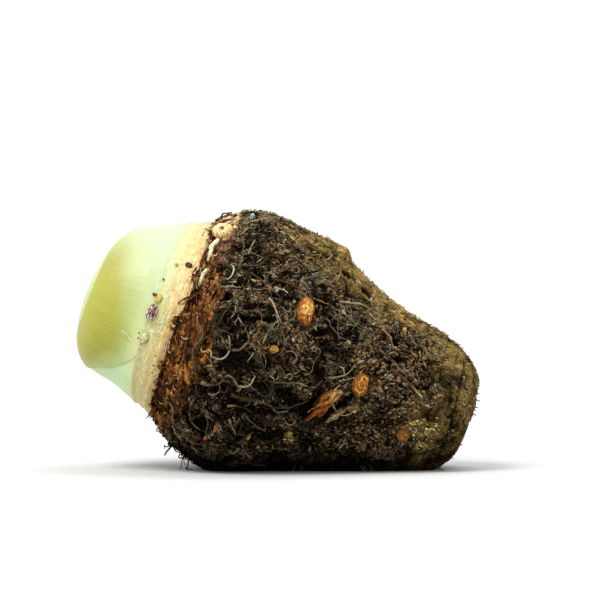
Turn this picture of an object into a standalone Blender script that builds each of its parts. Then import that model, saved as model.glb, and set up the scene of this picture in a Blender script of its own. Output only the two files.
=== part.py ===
"""Taro root: a hairy corm lying on its side, with the cut stub of its leaf stalks still on it.

Metres, +Z up. The stub points to -X and a little up, the old root end to +X, and the corm rests
on a flat patch at Z = 0. The origin is the bottom centre of the whole object's bounding box.

Most of the shape is described along the corm's own axis, which leans down towards +X. A point is
given by (along, side, up): along the axis from the shoulder, where the leaf bases join the corm,
sideways (the same as Y), and square to both, roughly upwards.
"""

from math import asin, cos, pi, radians, sin, tau

import bpy
from mathutils import Matrix, Vector
from mathutils.bvhtree import BVHTree
from mathutils.geometry import interpolate_bezier

MM = 0.001

# Driving dimensions
AXIS_LEAN = radians(17.5)  # how far the corm's axis dips towards the root end
SHOULDER = Vector((-0.043, 0.0, 0.068))  # centre of the joint between corm and leaf bases
GAP = 0.3 * MM  # clearance between pieces that grow on each other
CORM_SEGMENTS = 12  # corners of the corm's cage round its axis
CORM_LEVELS = 2
STALK_SEGMENTS = 36  # corners of the stub and the ring round the axis
BLOCK = 0.4  # side of the cutting blocks, and the distance from which the skin is sighted
SHARP = radians(40)  # edges that turn by more than this stay sharp

# The stub of the leaf stalks
NECK_RADIUS = 37.2 * MM  # the part of the stub inside the ring of leaf bases
STUB_RADIUS = 41.4 * MM  # the stub just outside the ring
RING_RADIUS = 45.0 * MM  # the ring where it meets the bark
RING_WIDTH = 8.5 * MM
RING_SLANT = 5.5 * MM  # the ring is this much wider at the front, and narrower at the back
SHEATH_THICK = 2.4 * MM
SHEATH_PROUD = 0.35 * MM  # the sheath stands this much above the stalk beside it
SHEATH_START = RING_WIDTH + RING_SLANT + 0.6 * MM  # just clear of the ring's widest place
SHEATH_END = 38.4 * MM
LOBE_AT, LOBE_DROP, LOBE_RADIUS = 34.0 * MM, 9.6 * MM, 23.8 * MM  # the sheath's round margin
CUT_LEAN = 0.08  # the cut end leans back at the top, by this share of its radius

# Roots and buds
ROOT_STEPS = 5  # points between two bends of a root
ROOT_TAPER = 0.55  # share of its thickness that a root loses towards its tip
ROOT_LIFT = 0.5 * MM  # how far a root arches off the skin at its middle
BUD_SEGMENTS, BUD_RINGS = 14, 8
BUD_SINK = 0.35  # share of a bud's height that is set into the skin

# Materials: base colour, roughness
COLOURS = {
    "bark": ((0.045, 0.028, 0.014), 0.9),
    "leaf_base": ((0.80, 0.66, 0.36), 0.6),
    "stalk": ((0.60, 0.80, 0.50), 0.35),
    "sheath": ((0.62, 0.68, 0.28), 0.35),
    "bud": ((0.55, 0.25, 0.06), 0.6),
    "pale_bud": ((0.72, 0.55, 0.28), 0.6),
    "purple_bud": ((0.30, 0.16, 0.18), 0.5),
    "flake": ((0.55, 0.46, 0.25), 0.8),
    "root": ((0.13, 0.085, 0.045), 0.85),
}

AXIS = Vector((cos(AXIS_LEAN), 0.0, -sin(AXIS_LEAN)))
UP = Vector((sin(AXIS_LEAN), 0.0, cos(AXIS_LEAN)))


def clear_scene():
    for obj in list(bpy.data.objects):
        bpy.data.objects.remove(obj)


def new_collection(name):
    collection = bpy.data.collections.new(name)
    bpy.context.scene.collection.children.link(collection)
    return collection


def place(along, side, up):
    """A point of the corm's own axes, given in metres, in the object's frame."""
    return SHOULDER + AXIS * along + Vector((0.0, side, 0.0)) + UP * up


def material(name):
    found = bpy.data.materials.get(name)
    if found:
        return found
    colour, roughness = COLOURS[name]
    made = bpy.data.materials.new(name)
    made.use_nodes = True
    shader = made.node_tree.nodes["Principled BSDF"]
    shader.inputs["Base Color"].default_value = (*colour, 1.0)
    shader.inputs["Roughness"].default_value = roughness
    shader.inputs["Metallic"].default_value = 0.0
    made.diffuse_color = (*colour, 1.0)
    return made


def add_object(name, data, look=None):
    """Links a part, or a helper if it has no look. Everything hangs on the root empty."""
    obj = bpy.data.objects.new(name, data)
    (parts if look else cutters).objects.link(obj)
    obj.parent = root
    if look:
        data.materials.append(material(look))
    else:
        obj.hide_render = True
        obj.display_type = "WIRE"
    if isinstance(data, bpy.types.Mesh):
        data.shade_smooth()
        data.set_sharp_from_angle(angle=SHARP)
    return obj


def loft(name, rings, look=None, round_again=False):
    """A closed skin over rings of equally many points. It is capped at both ends, or joins its last
    ring to its first."""
    count = len(rings[0])
    verts = [point for ring in rings for point in ring]
    spans = range(len(rings)) if round_again else range(len(rings) - 1)
    faces = []
    for i in spans:
        here, there = i * count, (i + 1) % len(rings) * count
        for j in range(count):
            k = (j + 1) % count
            faces.append((here + j, here + k, there + k, there + j))
    if not round_again:
        faces.append(tuple(reversed(range(count))))
        faces.append(tuple((len(rings) - 1) * count + j for j in range(count)))
    mesh = bpy.data.meshes.new(name)
    mesh.from_pydata(verts, [], faces)
    mesh.update()
    return add_object(name, mesh, look)


def subdivide(obj, levels):
    modifier = obj.modifiers.new("Smooth", "SUBSURF")
    modifier.levels = levels
    modifier.render_levels = levels


def cut(obj, cutter, name):
    modifier = obj.modifiers.new(name, "BOOLEAN")
    modifier.operation = "DIFFERENCE"
    modifier.object = cutter
    modifier.solver = "EXACT"


def box_cutter(name, size, centre, turn=Matrix.Identity(3)):
    bpy.ops.mesh.primitive_cube_add(size=1.0)
    made = bpy.context.object
    mesh = made.data
    bpy.data.objects.remove(made)
    mesh.name = name
    for vertex in mesh.vertices:
        vertex.co = turn @ (Vector(vertex.co) * size) + centre
    return add_object(name, mesh)


# ---------------------------------------------------------------------------------------------
# Corm


# Sections of the corm along its axis, in millimetres: distance along, top, bottom and half width.
# The bottom runs a little below the floor, which the foot block then takes off.
CORM_SECTIONS = (
    (-8, 41, -41, 41),
    (1, 45.5, -45.5, 45),
    (8, 51.5, -51.5, 51),
    (17, 56.5, -57.5, 56),
    (32, 56.8, -63.6, 58),
    (47, 54.0, -58.6, 56),
    (60, 54.2, -54.6, 52.5),
    (66.5, 45.5, -52.6, 47.5),
    (80, 40.0, -49.0, 43.5),
    (95, 32.6, -44.6, 38.5),
    (110, 31.8, -40.0, 34.5),
    (124, 26.8, -34.8, 30.5),
    (133.5, 18.5, -28.0, 25),
    (138.5, 10.0, -15.0, 17),
)


def lump(angle, along):
    """Low swellings that keep the corm from looking turned on a lathe, as a share of its radius."""
    return (
        0.014 * sin(3 * angle + along / 19)
        + 0.010 * sin(5 * angle - along / 13 + 1.0)
        + 0.008 * cos(2 * angle + along / 9)
    )


def corm_cage():
    """The sections as rings, made larger by what the subdivision takes off a circle."""
    swell = 3.0 / (2.0 + cos(tau / CORM_SEGMENTS))
    rings = []
    for along, top, bottom, width in CORM_SECTIONS:
        ring = []
        for i in range(CORM_SEGMENTS):
            angle = tau * i / CORM_SEGMENTS
            grow = swell * (1 + lump(angle, along))
            side = width * cos(angle) * grow
            up = (top + bottom) / 2 + (top - bottom) / 2 * sin(angle) * grow
            ring.append(place(along * MM, side * MM, up * MM))
        rings.append(ring)
    return rings


def build_corm():
    corm = loft("corm", corm_cage(), "bark")
    subdivide(corm, CORM_LEVELS)
    floor = box_cutter("foot_cutter", BLOCK, Vector((0, 0, -BLOCK / 2)))
    lean = Matrix.Rotation(AXIS_LEAN, 3, "Y")
    neck = box_cutter("neck_cutter", BLOCK, place(-BLOCK / 2, 0, 0), lean)
    cut(corm, floor, "Foot")
    cut(corm, neck, "Shoulder")
    return corm


def build_clearance():
    """The corm grown by the gap, which trims whatever sits on its skin."""
    grown = loft("corm_clearance", corm_cage())
    subdivide(grown, CORM_LEVELS)
    swell = grown.modifiers.new("Grow", "DISPLACE")
    swell.mid_level = 0.0
    swell.strength = GAP
    return grown


# ---------------------------------------------------------------------------------------------
# Leaf bases and stalk stub


# Outline of the stub outside the ring, in millimetres: distance along the axis and radius.
STUB_PROFILE = ((-14, 39.2), (-20, 37.0), (-25.5, 35.3), (-31, 33.6), (-34.6, 31.4), (-37.3, 28.0),
                (-39.8, 23.0), (-41.8, 16.5), (-43.2, 8.0))


def stub_radius(along):
    """The stub's radius at this distance along the axis, in metres."""
    points = [(-RING_WIDTH, STUB_RADIUS)] + [(a * MM, r * MM) for a, r in STUB_PROFILE]
    for (a0, r0), (a1, r1) in zip(points, points[1:]):
        if along >= a1:
            share = min(max((along - a0) / (a1 - a0), 0.0), 1.0)
            return r0 + (r1 - r0) * share
    return points[-1][1]


def cut_lean(along):
    """How much of the cut end's lean has come in at this distance along the axis."""
    start, end = -18 * MM, -31 * MM
    return CUT_LEAN * min(max((along - start) / (end - start), 0.0), 1.0)


def stub_point(along, radius, angle):
    """A point of the stub, at this angle round the axis from the back over the top."""
    up = radius * sin(angle)
    return place(along + cut_lean(along) * up, radius * cos(angle), up)


def circle(along, radius, slant=0.0):
    """A ring round the axis. The slant moves its front (-Y) towards the cut end."""
    ring = []
    for i in range(STALK_SEGMENTS):
        angle = tau * i / STALK_SEGMENTS
        ring.append(stub_point(along + slant * cos(angle), radius, angle))
    return ring


def build_leaf_base_ring():
    inner = NECK_RADIUS + GAP
    round_over, waist, lip = 0.8 * MM, 1.6 * MM, 0.2 * MM
    rings = (
        circle(-GAP, inner),
        circle(-GAP, RING_RADIUS - round_over),
        circle(-1.5 * round_over, RING_RADIUS, 0.1 * RING_SLANT),
        circle(-0.53 * RING_WIDTH, RING_RADIUS - waist, 0.5 * RING_SLANT),
        circle(-RING_WIDTH, STUB_RADIUS + lip, RING_SLANT),
        circle(-RING_WIDTH, inner, RING_SLANT),
    )
    return loft("leaf_base_ring", list(reversed(rings)), "leaf_base", round_again=True)


def sheath_edge(along):
    """How far round from the top the outer sheath reaches at this distance along the axis: its
    margin is a round lobe that hangs almost to the underside at the cut end."""
    reach = (LOBE_RADIUS**2 - (along + LOBE_AT) ** 2) ** 0.5
    nearly_under = 0.985
    return pi / 2 + asin(min((LOBE_DROP + reach) / stub_radius(along), nearly_under))


def sheath_rings(grow):
    """Cross-sections of the sheath as a band round the stalk. Grown, it is the recess that the
    sheath lies in: deeper by twice the gap, as its facets and the sheath's don't run alike."""
    steps, stops = 23, 9
    rings = []
    for i in range(stops):
        along = -SHEATH_START + (SHEATH_START - SHEATH_END) * i / (stops - 1)
        reach = sheath_edge(along) + 1.3 * grow / stub_radius(along)
        turn = [pi / 2 - reach + 2 * reach * j / steps for j in range(steps + 1)]
        at = along - grow if i == stops - 1 else along
        radius = stub_radius(at)
        at = at + grow if i == 0 else at
        outer = radius + SHEATH_PROUD + grow * 4
        inner = radius - SHEATH_THICK - 2 * grow
        ring = [stub_point(at, outer, a) for a in turn]
        ring += [stub_point(at, inner, a) for a in reversed(turn)]
        rings.append(ring)
    return rings


def build_stub():
    rings = [
        circle(-GAP, NECK_RADIUS),
        circle(-RING_WIDTH - GAP, NECK_RADIUS, RING_SLANT),
        circle(-RING_WIDTH - GAP, STUB_RADIUS, RING_SLANT),
    ]
    fading_slant = (0.6, 0.3) + (0.0,) * (len(STUB_PROFILE) - 2)
    for (along, radius), share in zip(STUB_PROFILE, fading_slant):
        rings.append(circle(along * MM, radius * MM, RING_SLANT * share))
    stalk = loft("inner_leaf_stalk", list(reversed(rings)), "stalk")
    loft("outer_leaf_sheath", list(reversed(sheath_rings(0.0))), "sheath")
    cut(stalk, loft("sheath_recess", list(reversed(sheath_rings(GAP)))), "Recess")


# ---------------------------------------------------------------------------------------------
# Things that grow on the corm's skin


def skin_tree(obj):
    bpy.context.view_layer.update()
    return BVHTree.FromObject(obj, bpy.context.evaluated_depsgraph_get())


def on_skin(skin, x, z, back=False):
    """The point and outward normal of this skin that show at this X and Z from the front, or from
    the back. Millimetres in, metres out."""
    start = Vector((x * MM, BLOCK if back else -BLOCK, z * MM))
    point, normal, _, _ = skin.ray_cast(start, Vector((0, -1 if back else 1, 0)))
    return point, normal


def frame_on(normal, tilt):
    """Axes with Z along the normal and X turned by tilt, in degrees, from level."""
    level = Vector((0, 0, 1)).cross(normal)
    level = level.normalized() if level.length > 1e-6 else Vector((1, 0, 0))
    across = normal.cross(level)
    turned = level * cos(radians(tilt)) + across * sin(radians(tilt))
    return Matrix((turned, normal.cross(turned), normal)).transposed()


def build_bud(name, look, seat, size, tilt, sink=BUD_SINK):
    """A squashed sphere, length by width by height, sunk by this share of its height into the seat,
    a point and a normal. A negative sink leaves it standing clear."""
    bpy.ops.mesh.primitive_uv_sphere_add(segments=BUD_SEGMENTS, ring_count=BUD_RINGS, radius=0.5)
    made = bpy.context.object
    mesh = made.data
    bpy.data.objects.remove(made)
    mesh.name = name
    point, normal = seat
    turn = frame_on(normal, tilt)
    length, width, height = (v * MM for v in size)
    centre = point + normal * height * (0.5 - sink)
    for vertex in mesh.vertices:
        x, y, z = vertex.co
        vertex.co = turn @ Vector((x * length, y * width, z * height)) + centre
    return add_object(name, mesh, look)


def build_seated_bud(name, look, seat, size, tilt):
    """A low dome on the corm, trimmed to clear the skin."""
    bud = build_bud(name, look, seat, size, tilt)
    cut(bud, clearance, "Seat")


def build_root(name, route, thick, back):
    """A root lying on the skin along a smooth line through its bends, thinner at its tip."""
    flat = [Vector((x, z, 0)) for x, z in route]
    knots = [flat[0] * 2 - flat[1]] + flat + [flat[-1] * 2 - flat[-2]]
    line = []
    for before, here, there, after in zip(knots, knots[1:], knots[2:], knots[3:]):
        pull_out = here + (there - before) / 6
        pull_in = there - (after - here) / 6
        line += interpolate_bezier(here, pull_out, pull_in, there, ROOT_STEPS)[:-1]
    line.append(flat[-1])
    curve = bpy.data.curves.new(name, "CURVE")
    curve.dimensions = "3D"
    curve.bevel_depth = thick / 2 * MM
    curve.bevel_resolution = 1
    curve.use_fill_caps = True
    spline = curve.splines.new("POLY")
    spline.points.add(len(line) - 1)
    for i, flat_point in enumerate(line):
        share = i / (len(line) - 1)
        taper = 1.0 - ROOT_TAPER * share
        point, normal = on_skin(corm_skin, flat_point.x, flat_point.y, back)
        rise = thick / 2 * taper * MM + 1.4 * GAP + ROOT_LIFT * sin(pi * share)
        spline.points[i].co = (*(point + normal * rise), 1.0)
        spline.points[i].radius = taper
    return add_object(name, curve, "root")


# Side buds: X, Z, (length, width, height), tilt, and whether it is on the back.
SIDE_BUDS = (
    (13.0, 71.5, (12.0, 6.0, 4.4), 75, False),
    (-0.7, 55.4, (4.6, 4.2, 4.2), 0, False),
    (37.0, 39.5, (10.5, 8.0, 4.6), 80, False),
    (56.2, 17.0, (6.4, 6.0, 3.6), 0, False),
    (12.0, 62.0, (10.0, 7.0, 4.4), 30, True),
)

# Other growths on the front, seated the same way: node, material, X, Z, size, tilt.
SEATED_GROWTHS = (
    ("torn_root_base", "bud", 21.5, 31.5, (21.0, 6.0, 3.2), 47),
    ("bark_flake", "flake", 27.6, 24.6, (10.0, 3.0, 2.2), 40),
    ("shoulder_bud", "pale_bud", -23.0, 105.6, (8.6, 7.6, 4.6), 20),
)
COLLAR_BUD_AT = (-54.0, 71.0)  # X, Z on the front of the leaf base ring
COLLAR_BUD_SIZE = (5.6, 3.4, 2.2)
COLLAR_BUD_TILT = 70

# Roots: X, Z of each bend, then the thickness, and whether it is on the back.
ROOTS = (
    (((-31.7, 46.4), (-33.4, 52.5), (-30.5, 59.5), (-24.0, 63.6), (-18.4, 61.8)), 2.1, False),
    (((-22.8, 59.6), (-20.0, 56.0), (-15.2, 55.8), (-11.8, 59.4), (-12.4, 63.6)), 2.0, False),
    (((-8.0, 67.2), (-3.0, 65.2), (1.6, 60.6), (4.2, 54.4)), 2.3, False),
    (((-6.0, 60.0), (-6.4, 54.0), (-5.2, 48.6), (-4.0, 43.6)), 1.9, False),
    (((-31.5, 41.6), (-27.0, 40.2), (-22.6, 41.6)), 2.4, False),
    (((-19.0, 36.4), (-13.0, 34.6), (-6.8, 33.4), (-1.2, 30.8)), 2.3, False),
    (((-20.4, 31.4), (-15.2, 31.4), (-10.4, 29.0)), 1.7, False),
    (((-45.0, 26.5), (-42.2, 20.5), (-36.0, 15.4), (-28.5, 14.2), (-21.5, 14.4)), 1.5, False),
    (((44.0, 54.6), (49.0, 50.4), (54.4, 45.4), (60.2, 40.6)), 1.8, False),
    (((-19.0, 71.2), (-12.0, 71.8), (-5.2, 70.8)), 1.6, False),
    (((-15.0, 103.0), (-14.0, 98.6), (-15.2, 93.8)), 1.5, False),
    (((-34.0, 35.0), (-36.6, 28.6), (-34.4, 22.6), (-29.0, 19.4)), 1.8, False),
    (((-28.0, 52.0), (-24.0, 60.0), (-16.0, 63.0), (-8.0, 58.0)), 2.2, True),
    (((-30.0, 82.0), (-22.0, 78.0), (-16.0, 70.5)), 1.9, True),
    (((8.0, 30.0), (0.0, 33.5), (-8.0, 31.0), (-14.0, 35.0)), 2.1, True),
    (((30.0, 62.0), (36.0, 55.0), (45.0, 51.0)), 1.8, True),
    (((-26.0, 24.0), (-32.0, 30.0), (-31.0, 38.0)), 1.9, True),
)


def build_growths():
    for i, (x, z, size, tilt, back) in enumerate(SIDE_BUDS):
        build_seated_bud(f"side_bud_{i + 1}", "bud", on_skin(corm_skin, x, z, back), size, tilt)
    for name, look, x, z, size, tilt in SEATED_GROWTHS:
        build_seated_bud(name, look, on_skin(corm_skin, x, z), size, tilt)
    for i, (route, thick, back) in enumerate(ROOTS):
        build_root(f"root_{i + 1:02d}", route, thick, back)


def build_collar_bud(ring):
    """A small bud that stands on the front of the leaf base ring, clear of it by the gap."""
    seat = on_skin(skin_tree(ring), *COLLAR_BUD_AT)
    clear = -GAP / MM / COLLAR_BUD_SIZE[2]
    build_bud("collar_bud", "purple_bud", seat, COLLAR_BUD_SIZE, COLLAR_BUD_TILT, clear)


def stand_on_origin():
    """Moves everything so that the origin is the bottom centre of the bounding box."""
    bpy.context.view_layer.update()
    graph = bpy.context.evaluated_depsgraph_get()
    points = []
    for obj in parts.objects:
        if obj is root:
            continue
        evaluated = obj.evaluated_get(graph)
        mesh = evaluated.to_mesh()
        points += [evaluated.matrix_world @ vertex.co for vertex in mesh.vertices]
        evaluated.to_mesh_clear()
    low = [min(point[k] for point in points) for k in range(3)]
    high = [max(point[k] for point in points) for k in range(3)]
    root.location = (-(low[0] + high[0]) / 2, -(low[1] + high[1]) / 2, -low[2])


clear_scene()
parts = new_collection("taro_root")
cutters = new_collection("taro_root_cutters")
root = bpy.data.objects.new("taro_root_origin", None)
parts.objects.link(root)
corm = build_corm()
clearance = build_clearance()
corm_skin = skin_tree(corm)
leaf_base_ring = build_leaf_base_ring()
build_stub()
build_growths()
build_collar_bud(leaf_base_ring)
stand_on_origin()
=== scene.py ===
"""The looks of a taro root: a hairy corm on its side, with the cut stub of its leaf stalks."""

from math import cos, pi, radians, sin, tau

import bpy
import numpy as np
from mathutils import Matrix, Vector, noise
from mathutils.bvhtree import BVHTree


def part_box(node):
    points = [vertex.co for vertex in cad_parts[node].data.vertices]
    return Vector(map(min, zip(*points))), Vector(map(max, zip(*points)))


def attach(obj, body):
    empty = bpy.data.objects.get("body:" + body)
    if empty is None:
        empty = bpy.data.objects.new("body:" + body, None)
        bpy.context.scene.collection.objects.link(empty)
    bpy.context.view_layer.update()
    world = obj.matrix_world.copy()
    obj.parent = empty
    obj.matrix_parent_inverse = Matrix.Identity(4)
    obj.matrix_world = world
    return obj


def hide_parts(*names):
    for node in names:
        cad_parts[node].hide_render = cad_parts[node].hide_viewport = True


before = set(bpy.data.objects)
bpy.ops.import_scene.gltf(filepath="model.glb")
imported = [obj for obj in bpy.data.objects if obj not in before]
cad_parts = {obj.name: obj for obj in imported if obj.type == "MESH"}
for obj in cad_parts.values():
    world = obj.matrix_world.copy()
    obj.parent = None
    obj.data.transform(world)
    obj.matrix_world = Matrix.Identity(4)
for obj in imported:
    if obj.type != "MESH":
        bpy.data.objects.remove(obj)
bpy.context.view_layer.update()

MM = 0.001
rng = np.random.default_rng(7)

# The corm's own axis dips towards the root end. The shoulder, where the bark meets the ring of leaf
# bases, lies a little way along it from the middle of that ring.
LEAN = radians(17.5)
AXIS = np.array((cos(LEAN), 0.0, -sin(LEAN)))
TOP = np.array((sin(LEAN), 0.0, cos(LEAN)))
FRONT = np.array((0.0, -1.0, 0.0))
SHOULDER_ALONG, SHOULDER_UP = 4.86, 1.15  # mm from the middle of the ring
ring_low, ring_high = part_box("leaf_base_ring")
SHOULDER = np.array((ring_low + ring_high) / 2) + AXIS * SHOULDER_ALONG * MM + TOP * SHOULDER_UP * MM

VOXEL = 0.87 * MM  # size of the corm skin's faces
ROOT_VOXEL = 0.32 * MM  # size of the stout roots' faces
OUTSIDE = 0.09  # metres from the axis, outside every piece near the shoulder
FAR_OUTSIDE = 0.12  # metres from the axis, outside every piece
IN_FRONT = -0.2  # the Y, in metres, that rays into the picture start from
GROUND_GAP = 0.02 * MM  # the least gap under roots and chips
SCALE_GAP = 0.03 * MM  # the least gap under scales and growths
ROOT_GAP = 0.05 * MM  # the least gap under the stout roots
FLAT_BELOW = 0.4 * MM  # skin that starts lower than this lies flat on the ground


# ---------------------------------------------------------------------------------------------
# Meshes


def smoothstep(low, high, value):
    """0 up to low and 1 from high, with a smooth rise between them."""
    share = np.clip((value - low) / (high - low), 0.0, 1.0)
    return share * share * (3 - 2 * share)


def bump_at(value, centre, width):
    """A smooth bump of height 1."""
    return np.exp(-(((value - centre) / width) ** 2))


def blend(low, high, share):
    """One value at share 0 and another at share 1."""
    return low * (1 - share) + high * share


def above_ground(points, gap):
    """Lifts what is closer to the ground than this gap."""
    points[..., 2] = np.maximum(points[..., 2], gap)


def add_piece(name, made, look, slot, *replaced):
    """A piece that rides on the root body, from its points, its faces and a colour for each of its
    points, and the CAD nodes it stands in for."""
    points, faces, tint = made
    mesh = bpy.data.meshes.new(name)
    mesh.from_pydata(np.asarray(points).tolist(), [], [list(map(int, face)) for face in faces])
    mesh.shade_smooth()
    layer = mesh.attributes.new("tint", "FLOAT_COLOR", "POINT")
    values = np.ones((len(points), 4), np.float32)
    values[:, : tint.shape[1]] = np.clip(tint, 0.0, 1.0)
    layer.data.foreach_set("color", values.ravel())
    mesh.materials.append(look)
    obj = bpy.data.objects.new(name, mesh)
    bpy.context.scene.collection.objects.link(obj)
    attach(obj, "root")
    if replaced:
        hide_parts(*replaced)


def per_point(mesh, name):
    """A vector of each of the mesh's points, its co or its normal."""
    values = np.empty(len(mesh.vertices) * 3)
    mesh.vertices.foreach_get(name, values)
    return values.reshape(-1, 3)


def joined(meshes):
    """The points and faces of these meshes together."""
    points, faces = [], []
    for mesh in meshes:
        start = len(points)
        points += [vertex.co[:] for vertex in mesh.vertices]
        faces += [[start + i for i in face.vertices] for face in mesh.polygons]
    return points, faces


def node_tree(*nodes):
    """A tree for sighting these CAD nodes together."""
    return BVHTree.FromPolygons(*joined(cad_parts[node].data for node in nodes))


def piece_tree(*names):
    """A tree for sighting these visual pieces together."""
    return BVHTree.FromPolygons(*joined(bpy.data.objects[name].data for name in names))


def front_hit(tree, x, z):
    """Where the tree meets a ray into the picture at this X and Z in mm, and its normal there."""
    return tree.ray_cast(Vector((x * MM, IN_FRONT, z * MM)), Vector((0, 1, 0)))[:2]


def inward_hit(tree, centre, out, start):
    """What a ray from this far out meets on its way back to the centre: place, normal, distance."""
    hit, normal, _, distance = tree.ray_cast(Vector(centre + out * start), Vector(-out))
    return hit, normal, distance


def remeshed(nodes, voxel, smooth):
    """One closed mesh of even faces with the shape of these CAD nodes: points, faces, normals."""
    whole = bpy.data.meshes.new("whole")
    points, faces = joined(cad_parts[node].data for node in nodes)
    whole.from_pydata(points, [], faces)
    holder = bpy.data.objects.new("whole", whole)
    bpy.context.scene.collection.objects.link(holder)
    weld = holder.modifiers.new("Weld", "WELD")
    weld.merge_threshold = 0.005 * MM
    remesh = holder.modifiers.new("Remesh", "REMESH")
    remesh.mode = "VOXEL"
    remesh.voxel_size = voxel
    relax = holder.modifiers.new("Relax", "SMOOTH")
    relax.iterations = smooth
    graph = bpy.context.evaluated_depsgraph_get()
    made = bpy.data.meshes.new_from_object(holder.evaluated_get(graph))
    bpy.data.objects.remove(holder)
    out = per_point(made, "co"), [face.vertices[:] for face in made.polygons], per_point(made, "normal")
    bpy.data.meshes.remove(made)
    return out


def noise_places(points, size, seed):
    """Where in the noise these points fall, for lumps of this many metres and this seed."""
    shift = Vector((seed * 7.3, seed * 3.1, seed * 5.7))
    return (Vector(p) / size + shift for p in points)


def noise_at(points, size, seed, octaves):
    """Smooth noise between about -1 and 1 whose lumps are this many metres across."""
    return np.array([noise.fractal(p, 1.0, 2.0, octaves, noise_basis="PERLIN_ORIGINAL")
                     for p in noise_places(points, size, seed)])


def wall_at(points, size, seed):
    """0 on the walls between cells this many metres across, and more inside the cells."""
    nearest = (noise.voronoi(p)[0] for p in noise_places(points, size, seed))
    return np.array([distances[1] - distances[0] for distances in nearest])


# ---------------------------------------------------------------------------------------------
# Places on the corm


def along_of(points):
    """Distance along the axis from the shoulder, in metres, positive towards the root end."""
    return (points - SHOULDER) @ AXIS


def angle_of(points):
    """Angle round the axis: 0 at the top, positive towards the front, pi underneath."""
    offset = points - SHOULDER
    return np.arctan2(-offset[:, 1], offset @ TOP)


def from_top(angles):
    """How far these angles are from the top, from 0 to pi, whichever way round."""
    return np.abs(np.mod(angles + pi, tau) - pi)


def outward(angles):
    """Directions square to the axis at these angles."""
    return np.cos(angles)[..., None] * TOP + np.sin(angles)[..., None] * FRONT


# Holes and slots in the front of the corm: X, Z, half length, half width, depth, tilt. In mm.
PITS = (
    (19.0, 63.0, 4.6, 1.9, 4.2, 8),
    (52.0, 57.6, 2.0, 2.0, 2.5, 0),
    (-9.0, 69.0, 10.0, 1.1, 2.6, -3),
    (-17.0, 51.5, 7.0, 4.6, 2.6, -15),
    (13.5, 29.5, 11.0, 4.6, 1.2, 0),
    (29.0, 31.0, 9.0, 1.5, 3.6, 47),
    (53.0, 50.3, 3.4, 1.6, 3.2, 12),
    (77.0, 32.0, 1.6, 2.6, 0.9, 0),
    (-26.0, 38.5, 4.5, 2.0, 2.4, 20),
    (31.0, 88.0, 3.0, 1.3, 2.4, -40),
    (22.0, 95.5, 2.6, 1.2, 2.2, -35),
    (40.0, 80.0, 3.0, 1.1, 2.2, -40),
    (-22.0, 79.0, 2.6, 2.2, 2.2, 0),
    (1.5, 78.5, 6.0, 1.0, 1.8, -16),
    (-33.0, 22.0, 6.0, 3.5, 2.2, 20),
)


def pit_depth(points):
    """How deep the listed holes are at each point, in metres."""
    depth = np.zeros(len(points))
    for x, z, length, width, deep, tilt in PITS:
        across, up = points[:, 0] / MM - x, points[:, 2] / MM - z
        turn = radians(tilt)
        u = (across * cos(turn) + up * sin(turn)) / length
        v = (up * cos(turn) - across * sin(turn)) / width
        inside = 1.0 - smoothstep(0.55, 1.15, np.sqrt(u * u + v * v))
        depth = np.maximum(depth, inside * deep * MM * (points[:, 1] < 0))
    return depth


def mat_share(points):
    """How much of the root mat grows here: 1 in the thick of it, 0 on the smooth olive bark."""
    along, angle = along_of(points) / MM, np.abs(angle_of(points))
    spread = 18 * noise_at(points, 30 * MM, 4.0, 2)
    fading = 1.0 - smoothstep(62, 100, along + spread)
    topside = smoothstep(radians(22), radians(52), angle + 0.012 * spread)
    near = 1.0 - smoothstep(16, 42, along + spread)
    return fading * np.maximum(topside, near)


def olive_share(points):
    """Smooth olive-brown bark along the top of the root end and round its tip."""
    along, angle = along_of(points) / MM, np.abs(angle_of(points))
    ragged = 9 * noise_at(points, 16 * MM, 6.0, 3)
    top = smoothstep(30, 50, along + ragged) * (
        1.0 - smoothstep(radians(26), radians(50), angle + 0.02 * ragged))
    tip = smoothstep(106, 122, along + ragged)
    return np.maximum(top, tip)


# Patches on the front: X, Z, half width and half height in mm. The pale ones are worn bark, and the
# dark ones are painted shade, black in the gaps of the mat.
PALE_PATCHES = ((62.0, 19.5, 9.5, 5.0), (63.0, 11.0, 3.5, 2.5), (5.5, 16.0, 3.0, 4.0),
                (34.0, 29.0, 3.0, 2.0))
SHADED_GAPS = ((-17.0, 48.6, 7.5, 6.5), (13.0, 29.7, 11.0, 5.5), (-24.0, 70.0, 3.5, 3.5),
                (40.0, 22.0, 17.0, 5.5), (-2.0, 57.0, 4.0, 3.5))


def patch_share(points, patches, seed):
    """1 inside the ragged front patches listed, 0 outside them."""
    near = np.zeros(len(points))
    ragged = 0.35 * noise_at(points, 5 * MM, seed, 3)
    for x, z, wide, tall in patches:
        reach = np.hypot((points[:, 0] / MM - x) / wide, (points[:, 2] / MM - z) / tall)
        near = np.maximum(near, (1 - smoothstep(0.5, 1.1, reach + ragged)) * (points[:, 1] < 0))
    return near


def pale_share(points):
    """1 on the pale worn patches, 0 elsewhere."""
    return patch_share(points, PALE_PATCHES, 61.0)


def ground_shade_share(points):
    """Painted shade: bark and roots are painted darker towards the ground."""
    ragged = 3.5 * noise_at(points, 9 * MM, 14.0, 3)
    return 1.0 - smoothstep(4.0, 14.0, points[:, 2] / MM + ragged)


def gloom(points):
    """Painted patches of light and shade in the mat, where roots lie proud or sunk, with painted shade in
    its black gaps.
    """
    broad = smoothstep(-0.42, 0.42, noise_at(points, 11 * MM, 51.0, 2))
    close = smoothstep(-0.45, 0.40, noise_at(points, 3.2 * MM, 52.0, 2))
    light = 0.03 + 0.70 * broad + 1.35 * (0.25 + broad) * close
    return light * (1 - 0.8 * patch_share(points, SHADED_GAPS, 62.0))


def top_light_share(points):
    """Painted top light: the upper side is painted paler than the lower."""
    return smoothstep(12.0, 98.0, points[:, 2] / MM)


KNOB_AT, KNOB_WIDE = (29.5, 96.5), 3.2  # a knob on the upper edge: X and Z, and width, in mm


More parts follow.
